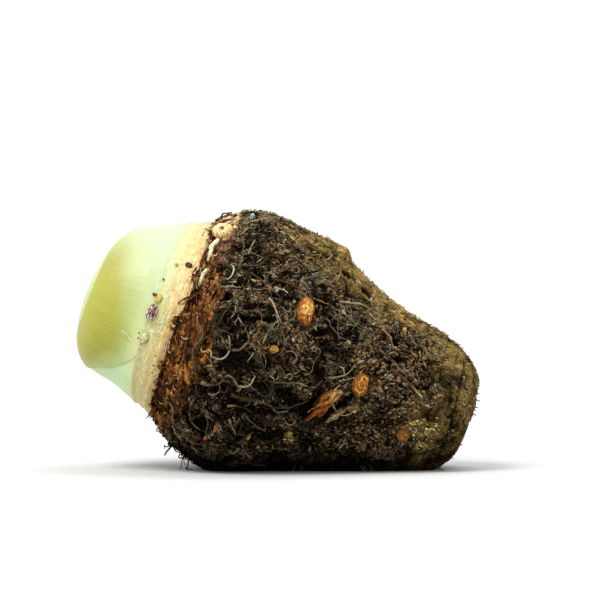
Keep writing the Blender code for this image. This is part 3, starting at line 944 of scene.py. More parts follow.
def sheath_margins(angles, covered):
    """How far round each margin of the sheath reaches in each row, and how far it wraps over."""
    last = max(i for i in range(len(covered)) if covered[i].max() > 0.5)
    half = STUB_COLUMNS // 2
    reach = np.array([np.interp(-0.5, -covered[i, half // 2:half], angles[half // 2:half])
                      for i in range(last + 1)])
    first = next(i for i in range(last + 1) if covered[i, : half // 2].min() > 0.5)
    reach[:first] = reach[first] + (reach[first] - reach[first + 3]) / 3 * np.arange(first, 0, -1)
    reach[SHEATH_SHUT:] = reach[SHEATH_SHUT - 1]
    reach = blurred(reach[:, None].repeat(2, 1), 2, 0)[:, 0]
    rows = np.arange(last + 1)
    reach += (pi - reach) * smoothstep(SHEATH_SHUT - 10, SHEATH_SHUT, rows)
    return reach, 0.75 * smoothstep(SHEATH_SHUT - 10, SHEATH_TO, rows)


def sampled(grid, turns):
    """Values between the columns of a grid that closes round, at these angles in each row."""
    at = np.mod(turns, tau) / tau * STUB_COLUMNS
    low = np.floor(at).astype(int) % STUB_COLUMNS
    share = at - np.floor(at)
    line = np.arange(len(turns))[:, None]
    share = share[..., None] if grid.ndim == 3 else share
    return blend(grid[line, low], grid[line, (low + 1) % STUB_COLUMNS], share)


def build_sheath(angles, origins, directions, distance, covered):
    """The outer sheath, from its margin on one side over the top to the other margin. Its first
    rows, which the CAD leaves bare, run on to the ring."""
    reach, wrap = sheath_margins(angles, covered)
    across = np.linspace(-1, 1, 161)
    turns = reach[:, None] * across + wrap[:, None]
    centre, way, far = sampled(origins, turns), unit(sampled(directions, turns)), sampled(distance, turns)
    centre = np.concatenate((centre[:1] + AXIS * 0.9 * MM, centre))
    way, far = np.concatenate((way[:1], way)), np.concatenate((far[:1] - 0.25 * MM, far))
    reach, wrap = np.concatenate((reach[:1], reach)), np.concatenate((wrap[:1], wrap))
    over = 0.35 * smoothstep(0.0, 0.15, wrap)[:, None] * smoothstep(0.90, 0.98, across)
    edge = np.minimum(reach[:, None] * (1 - np.abs(across)) * 38, 2.0)
    ends = np.minimum(np.arange(len(centre))[::-1, None] * 0.55, 2.0)
    rounding = 0.55 * np.maximum((1 - np.minimum(edge, ends) / 1.0), 0.0) ** 2
    top = centre + way * (far + SHEATH_PROUD + (over - rounding) * MM)[..., None]
    low = centre + way * (far - 1.2 * MM)[..., None]
    rows, columns = top.shape[:2]
    points = np.concatenate((top.reshape(-1, 3), low.reshape(-1, 3)))
    count = rows * columns
    upper = grid_faces(rows, columns, False)
    faces = upper + [[count + i for i in reversed(face)] for face in upper]
    faces += [[b, a, count + a, count + b] for a, b in grid_rim(rows, columns)]
    tint = stub_tint(points)
    margin = np.tile(np.broadcast_to(1 - np.abs(across), (rows, columns)).reshape(-1), 2)
    tint[:, 0] *= 0.45 + 0.55 * smoothstep(0.0, 0.11, margin)
    look = waxy_look("sheath", (0.42, 0.515, 0.215), (0.33, 0.325, 0.034))
    add_piece("sheath_skin", (points, faces, tint), look, "sheath", "outer_leaf_sheath")


def ring_look():
    """Cream leaf bases. The tint holds the share of the way across the ring, its brown stains, its
    pink blush and how pale green it is on top."""
    look = Look("leaf_base")
    across, stain, pink, green = look.zones()
    place = look.math("ADD", across, look.swing(look.noise(4 * MM, 5.0, 0.65), 0.7), True)
    cream = look.ramp(place, (0.0, (0.16, 0.055, 0.012)), (0.10, (0.40, 0.21, 0.055)),
                      (0.24, (0.52, 0.40, 0.135)), (0.55, (0.50, 0.46, 0.18)),
                      (0.80, (0.46, 0.51, 0.25)), (0.97, (0.40, 0.55, 0.28)))
    streaks = look.ramp(look.noise(2.4 * MM, 5.0, 0.65, (1.0, 0.4, 0.4)), (0.47, 0.0), (0.63, 1.0))
    streaks = look.times(streaks, look.math("MULTIPLY", stain, 1.1, True))
    cream = look.mix(streaks, cream, (0.52, 0.33, 0.075))
    threads = look.noise(0.8 * MM, 5.0, 0.65, (1.0, 0.25, 0.25))
    threads = look.times(look.ramp(threads, (0.48, 0.0), (0.62, 1.0)), 0.55)
    cream = look.mix(threads, cream, (0.74, 0.70, 0.46))
    cream = look.mix(look.times(green, 0.7), cream, (0.47, 0.47, 0.25))
    blotch = look.ramp(look.noise(1.8 * MM, 6.0, 0.7), (0.54, 0.0), (0.64, 0.8))
    cream = look.mix(look.times(blotch, stain), cream, (0.33, 0.16, 0.030))
    cream = look.mix(pink, cream, (0.46, 0.22, 0.14))
    specks = look.ramp(look.noise(1.1 * MM, 2.0, 0.5), (0.67, 0.0), (0.72, 0.6))
    cream = look.mix(specks, cream, (0.40, 0.40, 0.07))
    look.set(Base_Color=cream, Roughness=0.5, Subsurface_Weight=0.2, Subsurface_Scale=0.003,
             Subsurface_Radius=(1.0, 0.8, 0.4), Specular_IOR_Level=0.4)
    return look.bumped(look.noise(0.6 * MM, 5.0, 0.6), 0.2 * MM)


RING_INSIDE = 37.6 * MM  # radius of the ring's hidden inside


def build_ring(stub_radius):
    """The ring of trimmed leaf bases: wavy ridges round it, a lip that runs out onto the stub, and
    a closed back inside."""
    columns, rows = 360, 26
    angles = tau * np.arange(columns) / columns
    edge = ring_edge(angles)
    share = np.linspace(0.0, 1.0, rows)[:, None]
    at_bark = SHOULDER + outward(angles) * 41 * MM
    wander = 0.9 * MM * noise_at(at_bark, 4.5 * MM, 23.0, 3) * (1 - share) ** 2
    along = -0.35 * MM + (edge + 0.5 * MM) * share + wander + ring_creep(angles) * (1 - share) ** 1.5
    origins = SHOULDER + along[..., None] * AXIS
    out = np.broadcast_to(outward(angles), origins.shape)
    within = SHOULDER + np.minimum(along, -1.4 * MM)[..., None] * AXIS
    radius = blurred(sighted(node_tree("leaf_base_ring"), within, out), 0, 5)
    bark_line = SHOULDER + np.maximum(along, -0.4 * MM)[..., None] * AXIS
    on_bark = sighted(node_tree("corm"), bark_line, out) + 0.30 * MM
    radius = np.where(along > -1.4 * MM, np.maximum(radius, on_bark), radius)
    radius = blurred(radius, 1, 0)
    flat = (origins + out * radius[..., None]).reshape(-1, 3)
    waver = noise_at(flat, 16 * MM, 21.0, 2).reshape(rows, columns)
    fine = noise_at(flat, 2.4 * MM, 22.0, 3).reshape(rows, columns)
    ridge = bump_at(share, 0.30 + 0.08 * waver, 0.06) + 0.5 * bump_at(share, 0.62 + 0.10 * waver, 0.09)
    groove = bump_at(share, 0.45 + 0.10 * waver, 0.06)
    radius += (0.32 * ridge - 0.18 * groove + 0.35 * fine * (1 - 0.8 * share)) * MM
    turn = np.arange(columns) * STUB_COLUMNS / columns
    lip = np.interp(turn, np.arange(STUB_COLUMNS + 1), np.append(stub_radius, stub_radius[0]))
    lip = lip + SHEATH_PROUD + 0.03 * MM
    radius += (lip - radius) * smoothstep(0.60, 0.98, share)
    outer = origins + out * radius[..., None]
    inside = outward(angles) * RING_INSIDE
    near = SHOULDER + inside - AXIS * 0.35 * MM
    far = SHOULDER + (edge + 0.15 * MM)[:, None] * AXIS + inside
    points = np.concatenate((near[None], outer, far[None])).reshape(-1, 3)
    faces = grid_faces(rows + 2, columns)
    last = (rows + 1) * columns
    faces += [[j, last + j, last + (j + 1) % columns, (j + 1) % columns] for j in range(columns)]
    across = np.concatenate((np.zeros((1, columns)), np.broadcast_to(share, (rows, columns)),
                             np.ones((1, columns)))).reshape(-1)
    turn = angle_of(points)
    stain = 0.15 + 0.85 * smoothstep(0.85, 0.10, across)
    # Painted light: the underside gets fewer brown stains, so it is painted lighter against its shade.
    stain *= 1 - 0.5 * smoothstep(1.8, 2.6, np.abs(turn))
    pink = 0.7 * bump_at(turn, 1.95, 0.16) * bump_at(across, 0.12, 0.10)
    green = smoothstep(0.10, 0.55, across) * bump_at(turn, 0.15, 0.75)
    across = across - 0.45 * smoothstep(1.4, 2.1, from_top(turn)) * smoothstep(0.45, 1.0, across)
    tint = np.column_stack((across, stain, pink, green))
    add_piece("ring_skin", (points, faces, tint), ring_look(), "leaf_base", "leaf_base_ring")


def thin_plate(grid, thick):
    """Closes a grid of points into a plate of this thickness: points and faces."""
    rows, columns = grid.shape[:2]
    normal = unit(np.cross(np.gradient(grid, axis=1), np.gradient(grid, axis=0)))
    edge = np.ones((rows, columns))
    edge[0], edge[-1], edge[:, 0], edge[:, -1] = 0.25, 0.25, 0.25, 0.25
    shift = normal * (edge * thick / 2)[..., None]
    points = np.concatenate(((grid + shift).reshape(-1, 3), (grid - shift).reshape(-1, 3)))
    count = rows * columns
    lower = grid_faces(rows, columns, False)
    faces = [face[::-1] for face in lower] + [[count + i for i in face] for face in lower]
    faces += [[a, b, count + b, count + a] for a, b in grid_rim(rows, columns)]
    return points, faces


# Rows of papery scales round the shoulder: distance along the axis, count, width round the corm,
# length along it and how far the torn edge stands off. In mm.
SCALE_ROWS = (
    (16.5, 24, 16.0, 5.5, 0.4),
    (12.8, 24, 17.0, 6.0, 0.5),
    (9.0, 22, 17.0, 6.0, 0.5),
    (5.4, 24, 15.0, 5.2, 0.6),
    (2.2, 30, 12.0, 3.8, 0.55),
)


SHOULDER_WIDE = 46.0  # the shoulder's radius in mm, for turning widths into angles


def build_scales(skin_tree):
    """Torn remains of old leaf bases that wrap the shoulder, their free edges towards the ring."""
    points, faces, tints = [], [], []
    u = np.linspace(-1, 1, 20)[None, :]
    v = np.linspace(0, 1, 10)[:, None]
    for along, count, width, length, stand in SCALE_ROWS:
        phase = rng.uniform(0, tau)
        for k in range(count):
            middle = phase + tau * (k + rng.uniform(-0.3, 0.3)) / count
            if rng.uniform() < 0.18 or along > band_width(middle) + 3.5:
                continue
            wide = width * rng.uniform(0.6, 1.15) / 2 / SHOULDER_WIDE
            long = length * rng.uniform(0.75, 1.25)
            grid, at = scale_grid(skin_tree, u, v, middle, wide, long, along, stand)
            made, plate = thin_plate(grid, 0.28 * MM)
            faces += [[len(points) + i for i in face] for face in plate]
            points += made.tolist()
            tints.append(scale_tint(u, v, at, middle, made))
    points = np.array(points)
    above_ground(points, SCALE_GAP)
    add_piece("papery_scales", (points, faces, np.concatenate(tints)), scale_look(), "bark")


def scale_grid(skin_tree, u, v, middle, wide, long, along, stand):
    """One scale as a grid of points over the skin, torn at its free edge, and its own noise."""
    seed = rng.uniform(0, 400)
    at = np.array([[noise.noise((seed + 3.1 * a, seed * 0.37, 2.2 * b)) for a in u[0]]
                   for b in v[:, 0]])
    tear = np.array([noise.noise((seed + 5.0 * a, seed, 0.0))
                     + 0.7 * noise.noise((seed + 14.0 * a, seed, 2.0)) for a in u[0]])[None, :]
    sides = np.array([[noise.noise((seed, 4.0 * b, 9.0)), noise.noise((seed, 4.0 * b, 17.0))]
                      for b in v[:, 0]])
    narrow = 1.0 - 0.35 * v * v + 0.9 * np.where(u < 0, sides[:, :1], sides[:, 1:])
    angles = middle + wide * u * narrow * (1 + 0.12 * at)
    reach = long * v * np.clip(1.0 + 0.75 * tear * v - 0.55 * np.abs(u) ** 2.5, 0.2, 1.25)
    place = along + 0.8 + rng.uniform(-0.6, 0.6) - reach + 0.5 * at + ring_creep(angles) / MM
    lift = -0.45 + (0.75 + stand * rng.uniform(0.1, 1.5) * v + 0.5 * at) * np.minimum(v * 4, 1)
    lift += 0.5 * np.abs(u) ** 3 * v * rng.uniform(-0.4, 1.0)
    centre = SHOULDER + (place * MM)[..., None] * AXIS
    out = outward(angles)
    radius = np.empty(angles.shape)
    for index in np.ndindex(radius.shape):
        hit, _, distance = inward_hit(skin_tree, centre[index], out[index], OUTSIDE)
        radius[index] = OUTSIDE - distance if hit is not None else 0.0
    found = radius > 0.02
    radius = np.where(found, radius, np.where(found, radius, 0.0).max())
    return centre + out * (radius + np.minimum(lift, 1.2) * MM)[..., None], at


def laid_tubes(tree, places, steps, length, curl, lift, arch, thick, taper):
    """Thin tubes that wander over a surface from these places, each a start, a normal and a
    heading. Lengths and thicknesses are (low, high), and all sizes are in mm."""
    starts, normals, headings = zip(*places)
    count = len(starts)
    size = rng.uniform(*length, count) * MM
    line, up = walk(tree, starts, normals, headings, steps, size / (steps - 1), curl)
    share = np.linspace(0, 1, steps)[None, :]
    rise = lift + arch * np.sin(pi * share) * rng.uniform(0, 1, (count, 1))
    radius = rng.uniform(*thick, (count, 1)) * MM * (1 - taper * share)
    return tubes(line + up * rise[..., None] * MM, up, radius, 4)


SEAM_COLOURS = np.array(((0.020, 0.008, 0.005), (0.075, 0.022, 0.011), (0.16, 0.060, 0.018),
                         (0.33, 0.165, 0.050), (0.50, 0.36, 0.15)))


def build_seam(tree):
    """Brown shreds that lie round the shoulder along the seam between the ring and the bark."""
    places, steps = [], 10
    for turn, along in zip(rng.uniform(0, tau, 540), rng.normal(0.3, 1.0, 540)):
        out = outward(np.array(turn))
        centre = SHOULDER + (along * MM + ring_creep(turn)) * AXIS
        hit, normal, _ = inward_hit(tree, centre, out, OUTSIDE)
        if hit is not None and hit[2] >= 1.0 * MM:
            heading = Vector(np.cross(AXIS, out) + 0.15 * rng.normal(size=3)).normalized()
            places.append((hit, normal, heading))
    points, faces, along = laid_tubes(tree, places, steps, (3.0, 12.0), 0.10, 0.15, 0.5,
                                      (0.18, 0.48), 0.5)
    pick = rng.choice(len(SEAM_COLOURS), len(places), p=(0.30, 0.27, 0.20, 0.13, 0.10))
    tint = np.repeat(SEAM_COLOURS[pick], steps * 4, axis=0) * (0.75 + 0.5 * along[:, None])
    # Painted shade: darker towards the ground.
    tint *= 1 - 0.85 * ground_shade_share(points)[:, None]
    add_piece("seam_shreds", (points, faces, tint), fibre_look("seam_shred"), "root")


def scale_tint(u, v, at, middle, made):
    """Amber or purple-brown in blotches, and tan on top of the shoulder."""
    amber = np.array((0.40, 0.150, 0.018)) * rng.uniform(0.30, 1.15)
    tan = np.array((0.60, 0.40, 0.17)) * rng.uniform(0.7, 1.2)
    dark = np.array((0.050, 0.012, 0.006))
    colour = blend(amber, tan, bump_at(from_top(middle - 0.35), 0, 0.60))
    if rng.uniform() < 0.28:
        colour = colour * 0.3
    border = 0.6 * smoothstep(0.75, 1.0, v) + 1.7 * np.maximum(at, 0) + 0.5 * np.abs(u) ** 6
    grid = blend(colour, dark, np.clip(border, 0, 1)[..., None]).reshape(-1, 3)
    # Painted shade: darker towards the ground.
    return np.concatenate((grid, grid)) * (1 - 0.85 * ground_shade_share(made)[:, None])


def local_frame(node, skin_tree):
    """The centre, long axis, short axis and normal of a CAD growth, and its half length, half width
    and height."""
    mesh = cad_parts[node].data
    points = per_point(mesh, "co")
    centre = (points.min(0) + points.max(0)) / 2
    _, normal, _, _ = skin_tree.find_nearest(Vector(centre))
    normal = np.array(normal)
    flat = points - centre
    flat = flat - (flat @ normal)[:, None] * normal
    _, _, ways = np.linalg.svd(flat - flat.mean(0), full_matrices=False)
    long = ways[0] if ways[0][2] > 0 else -ways[0]
    wide = np.cross(normal, long)
    half = [np.abs(flat @ way).max() for way in (long, wide)]
    rise = ((points - centre) @ normal).max() + 0.5 * MM
    return (centre, long, wide, normal), (half[0], half[1], rise)


def mound(spot, size, detail, ragged, crest, paint, sunk=1.2 * MM):
    """A low closed dome: points, faces and colours. The spot is its centre, long axis, short axis
    and normal; the size is its half length, half width and height; crest and paint give the height
    of its ridges and its colours at each share of the way out, angle and place."""
    centre, long, wide, normal = spot
    half_long, half_wide, rise = size
    rows, columns = detail
    share = np.linspace(1.0, 0.0, rows, endpoint=False)[:, None] * np.ones(columns)
    turn = np.broadcast_to(tau * np.arange(columns) / columns, share.shape)
    seed = rng.uniform(0, 300)
    waver = np.array([[noise.noise((seed + 3 * a * cos(t), 3 * a * sin(t), 4.0)) for a, t in zip(*line)]
                      for line in zip(share, turn)])
    edge = np.array([noise.noise((seed + 1.3 * cos(t), 1.3 * sin(t), 0.0))
                     + 0.35 * noise.noise((seed + 5 * cos(t), 5 * sin(t), 7.0)) for t in turn[0]])
    u, v = share * np.cos(turn) * (1 + ragged * edge), share * np.sin(turn) * (1 + ragged * edge)
    ridge = crest(share, turn, waver, u, v)
    height = rise * np.sqrt(np.maximum(1 - share**2.4, 0)) - 0.3 * MM
    height = height + (0.55 * ridge * (1 - share**4) + 0.25 * waver) * MM
    flat = centre + (half_long * u)[..., None] * long + (half_wide * v)[..., None] * wide
    top = flat + height[..., None] * normal
    tip = top[-1].mean(0)
    points = np.concatenate((flat[:1] - normal * sunk, top)).reshape(-1, 3)
    points = np.concatenate((points, tip[None], (centre - normal * sunk)[None]))
    above_ground(points, SCALE_GAP)
    colours = paint(share, waver, ridge, u, v)
    tint = np.concatenate((colours[:1], colours)).reshape(-1, 3)
    tint = np.concatenate((tint, colours[-1].mean(0)[None], colours[0, :1]))
    return points, capped_faces(rows + 1, columns), tint


def rings_crest(swirl):
    """Ridges round a bud, wound into this many spirals."""
    def crest(share, turn, waver, u, v):
        rings = 0.5 + 0.5 * np.sin(14 * share + swirl * turn + 3.6 * waver)
        return rings * (0.75 + 0.5 * np.sin(5 * turn + 9 * waver) * share)
    return crest


def faint_crest(share, turn, waver, u, v):
    """Hardly any ridges."""
    return 0.2 + 0.12 * np.sin(9 * share + 3 * waver)


def grain_crest(share, turn, waver, u, v):
    """Ridges along a torn or flaking strip."""
    beads = 0.72 + 0.28 * np.sin(15 * u + 12 * waver + 4 * v)
    return beads * (0.5 + 0.5 * np.sin(9 * v + 11 * waver + 2.5 * u))


def torn_crest(share, turn, waver, u, v):
    """Uneven lumps over the grain of a wound."""
    lumps = 0.55 + 0.45 * np.sin(12 * u + 9 * waver) * np.sin(7 * v - 8 * waver + 1.0)
    return 0.45 * grain_crest(share, turn, waver, u, v) + 0.6 * lumps


def ringed_paint(*colours):
    """Colours of a bud from its rim to its middle, dark between the ridges."""
    rim, body, core = (np.array(colour) for colour in colours)

    def paint(share, waver, ridge, u, v):
        mixed = smoothstep(0.3, 0.75, 1 - share + 0.4 * waver)[..., None] * (core - body) + body
        mixed = mixed * (0.30 + 0.95 * ridge + 0.4 * waver)[..., None]
        edge = smoothstep(0.66, 0.98, share + 0.35 * waver)[..., None]
        return np.maximum(blend(mixed, rim, edge), 0)
    return paint


def torn_paint(share, waver, ridge, u, v):
    """Orange flesh that darkens to painted shade at its rim, where it sits in a hollow, with olive bark
    left on one end.
    """
    glow = smoothstep(-0.25, 0.55, waver + 0.4 * u)[..., None]
    colour = DARK + (RUST + (ORANGE - RUST) * glow - DARK) * (ridge**1.2)[..., None]
    pale = smoothstep(0.30, 0.65, u + 0.5 * waver)[..., None]
    colour = blend(colour, OLIVE * (0.3 + ridge[..., None]), pale)
    # Painted shade: near black towards the rim, in the hollow round the wound.
    return blend(colour, DARK, smoothstep(0.75, 1.0, share + 0.3 * waver)[..., None])


def flake_paint(share, waver, ridge, u, v):
    """Pale bark with brown edges and cracks."""
    pale, brown = np.array((0.60, 0.47, 0.20)), np.array((0.07, 0.040, 0.014))
    edge = np.maximum(smoothstep(0.6, 0.95, share + 0.5 * waver), 1 - ridge)
    return blend(pale, brown, edge[..., None])


def cut_paint(share, waver, ridge, u, v):
    """Cream with a tan edge and a brown core that is off its middle."""
    cream, tan, brown = (np.array(colour) for colour in (
        (0.80, 0.69, 0.34), (0.46, 0.28, 0.10), (0.13, 0.055, 0.018)))
    edge = smoothstep(0.55, 0.95, share + 0.5 * waver)[..., None]
    dot = smoothstep(0.30, 0.16, np.hypot(u - 0.10, v) + 0.15 * waver)[..., None]
    return blend(blend(cream * (0.75 + 0.3 * ridge[..., None]), tan, edge), brown, dot)


def striped_paint(share, waver, ridge, u, v):
    """Purple with pale lines along it, green on one side."""
    purple, pale = np.array((0.11, 0.035, 0.050)), np.array((0.66, 0.55, 0.42))
    line = smoothstep(0.35, 0.75, 0.5 + 0.5 * np.sin(13 * v + 5 * waver) + 0.4 * waver - 0.35 * u)
    green = 0.5 * smoothstep(0.2, 0.8, v)[..., None]
    return (purple + (pale - purple) * line[..., None]) * (1 - green) + green * (0.50, 0.48, 0.22)


ORANGE, RUST, DARK, OLIVE = (np.array(colour) for colour in (
    (0.66, 0.265, 0.030), (0.32, 0.078, 0.012), (0.022, 0.008, 0.004), (0.44, 0.35, 0.14)))

# The buds: node, how much bigger than in the CAD, ridges, and colours of the rim, body and middle.
BUDS = (
    ("side_bud_1", (1.20, 1.30, 1.15), grain_crest,
     (0.130, 0.040, 0.009), (0.58, 0.225, 0.036), (0.80, 0.47, 0.125)),
    ("side_bud_2", (1, 1, 1), rings_crest(0),
     (0.090, 0.030, 0.008), (0.50, 0.230, 0.045), (0.58, 0.32, 0.085)),
    ("side_bud_3", (1.05, 0.94, 1.1), rings_crest(2),
     (0.135, 0.046, 0.012), (0.56, 0.235, 0.042), (0.50, 0.19, 0.036)),
    ("side_bud_4", (1, 1, 1), rings_crest(1),
     (0.080, 0.045, 0.015), (0.34, 0.130, 0.028), (0.38, 0.15, 0.035)),
    ("side_bud_5", (1, 1, 1), rings_crest(1),
     (0.050, 0.018, 0.006), (0.34, 0.140, 0.026), (0.44, 0.22, 0.055)),
)


def grown(size, by):
    """A growth's half length, half width and height, each made this many times as big."""
    return tuple(a * b for a, b in zip(size, by))


def build_buds(skin_tree):
    """The side buds, low scars with ridges wound round them."""
    look = flesh_look("bud", 0.6)
    for node, by, crest, *colours in BUDS:
        spot, size = local_frame(node, skin_tree)
        made = mound(spot, grown(size, by), (24, 60), 0.18, crest, ringed_paint(*colours))
        add_piece(node + "_skin", made, look, "bud", node)


def build_torn_root(skin_tree):
    """The wound where a stout root was torn off, with its strands, and the flake beside it."""
    spot, size = local_frame("torn_root_base", skin_tree)
    centre, long, wide, normal = spot
    torn = flesh_look("torn_root", 0.6)
    made = mound(spot, size, (30, 96), 0.6, torn_crest, torn_paint)
    add_piece("torn_root_skin", made, torn, "bud", "torn_root_base")
    count, steps, sides = 24, 9, 5
    start = rng.uniform(-0.95, 0.7, count)
    side = rng.uniform(-0.95, 0.95, count)
    share = np.linspace(0, 1, steps)
    u = start[:, None] + rng.uniform(0.12, 0.38, (count, 1)) * share
    v = side[:, None] + rng.normal(0, 0.22, (count, 1)) * share**2
    rise = size[2] * np.sqrt(np.maximum(1 - u * u - v * v, 0.0))
    lift = rise + (0.15 + rng.uniform(0, 1.3, (count, 1)) * share**3) * MM
    line = centre + (u * size[0])[..., None] * long + (v * size[1])[..., None] * wide
    line = line + lift[..., None] * normal
    radius = rng.uniform(0.14, 0.34, (count, 1)) * MM * (1 - 0.6 * share)
    points, faces, along = tubes(line, np.broadcast_to(normal, line.shape), radius, sides)
    colours = np.array((ORANGE, RUST, DARK, RUST, (0.36, 0.18, 0.05)))[rng.integers(0, 5, count)]
    tint = np.repeat(colours, steps * sides, axis=0) * (0.7 + 0.6 * along[:, None])
    add_piece("torn_strands", (points, faces, tint), torn, "bud")
    spot, size = local_frame("bark_flake", skin_tree)
    spot = (spot[0] + np.array((-1.0, 0.0, 2.0)) * MM, *spot[1:])
    made = mound(spot, size, (18, 64), 0.9, grain_crest, flake_paint)
    add_piece("bark_flake_skin", made, flesh_look("bark_flake", 0.7), "flake", "bark_flake")


def build_collar_growths(skin_tree):
    """The pale cut bud on the shoulder, and the purple-striped bud on the ring."""
    (centre, long, _, normal), size = local_frame("shoulder_bud", skin_tree)
    facing = unit(normal + 0.75 * FRONT)
    long = unit(long - facing * (long @ facing))
    spot = (centre, long, np.cross(facing, long), facing)
    made = mound(spot, grown(size, (1.2, 1.2, 1.4)), (20, 60), 0.18, faint_crest, cut_paint, 3.0 * MM)
    add_piece("shoulder_bud_skin", made, flesh_look("cut_bud", 0.5), "pale_bud", "shoulder_bud")
    spot, size = local_frame("collar_bud", node_tree("leaf_base_ring"))
    made = mound(spot, grown(size, (1.45, 1.40, 1.15)), (20, 48), 0.15, grain_crest, striped_paint)
    add_piece("collar_bud_skin", made, flesh_look("striped_bud", 0.4), "purple_bud", "collar_bud")


# Small growths on the ring and the stub beside it, and on the bark: picture-plane X and Z, half
# length, half width and height, all in mm, and colour.
SPECK, TAN_SPECK = (0.03, 0.012, 0.010), (0.20, 0.100, 0.040)
RING_NUBS = (
    (-51.6, 77.2, 1.9, 1.5, 0.9, (0.80, 0.68, 0.13)),
    (-53.4, 79.0, 0.7, 1.1, 0.8, (0.24, 0.10, 0.10)),
    (-57.8, 59.9, 2.5, 1.9, 0.15, (0.86, 0.84, 0.45)),
    (-41.4, 76.2, 1.2, 2.0, 1.6, (0.80, 0.64, 0.32)),
    (-47.5, 65.6, 0.9, 0.8, 0.9, (0.80, 0.66, 0.16)),
    (-43.9, 92.0, 0.8, 0.7, 0.3, (0.50, 0.52, 0.10)),
    (-38.6, 91.6, 1.3, 1.7, 0.8, (0.16, 0.060, 0.020)),
    (-49.7, 85.5, 0.35, 0.35, 0.3, (0.03, 0.012, 0.008)),
    (-53.0, 52.2, 0.24, 0.26, 0.22, SPECK),
    (-53.9, 48.0, 0.30, 0.22, 0.22, SPECK),
    (-54.6, 44.8, 0.22, 0.30, 0.22, SPECK),
    (-54.0, 40.5, 0.22, 0.22, 0.22, SPECK),
    (-54.4, 36.5, 0.36, 0.30, 0.25, SPECK),
    (-60.2, 62.2, 0.30, 0.18, 0.20, TAN_SPECK),
    (-60.6, 60.0, 0.32, 0.18, 0.20, TAN_SPECK),
    (-59.6, 57.4, 0.24, 0.20, 0.20, TAN_SPECK),
)
BARK_NUBS = (
    (-11.0, 113.0, 1.5, 0.9, 1.6, (0.40, 0.55, 0.52)),
    (-31.3, 16.2, 1.5, 0.8, 0.8, (0.40, 0.150, 0.035)),
    (-26.8, 20.3, 1.9, 0.9, 0.8, (0.40, 0.140, 0.035)),
    (-12.4, 16.7, 1.8, 0.8, 0.8, (0.42, 0.170, 0.045)),
    (-8.3, 12.2, 1.2, 0.7, 0.7, (0.44, 0.180, 0.050)),
    (56.5, 63.0, 1.5, 1.1, 0.8, (0.46, 0.300, 0.070)),
    (80.8, 46.4, 1.6, 2.6, 0.6, (0.30, 0.200, 0.090)),
    (-3.0, 81.5, 1.6, 0.8, 0.7, (0.34, 0.110, 0.035)),
    (-35.0, 71.8, 1.9, 1.1, 0.7, (0.20, 0.070, 0.018)),
)


def build_nubs(tree, name, nubs, slot, roughness):
    """The small growths listed, each where its place in the picture plane meets the surface."""
    points, faces, tints = [], [], []
    for x, z, half_long, half_wide, rise, colour in nubs:
        hit, normal = front_hit(tree, x, z)
        if hit is None:
            continue
        normal = np.array(normal)
        wide = unit(np.cross(normal, TOP))

        # Painted shade: each nub is painted darker towards its rim and paler on its crest.
        def paint(share, waver, ridge, u, v):
            return np.array(colour) * (0.6 + 0.5 * (1 - share) + 0.4 * waver)[..., None]

        spot = (np.array(hit), np.cross(wide, normal), wide, normal)
        size = (half_long * MM, half_wide * MM, (rise + 0.3) * MM)
        made, nub, tint = mound(spot, size, (8, 20), 0.3, faint_crest, paint, 0.8 * MM)
        faces += [[len(points) + i for i in face] for face in nub]
        points += made.tolist()
        tints.append(tint)
    look = flesh_look(name + "_flesh", roughness)
    add_piece(name, (points, faces, np.concatenate(tints)), look, slot)


def smooth_line(controls, steps):
    """A smooth curve through these points."""
    controls = np.asarray(controls, float)
    before, after = 2 * controls[:1] - controls[1:2], 2 * controls[-1:] - controls[-2:-1]
    padded = np.concatenate((before, controls, after))
    place = np.linspace(0, len(controls) - 1, steps)
    i = np.minimum(place.astype(int), len(controls) - 2)
    t = (place - i)[:, None]
    a, b, c, d = padded[i], padded[i + 1], padded[i + 2], padded[i + 3]
    bend, twist = 2 * a - 5 * b + 4 * c - d, 3 * b - a - 3 * c + d
    return 0.5 * (2 * b + (c - a) * t + bend * t**2 + twist * t**3)


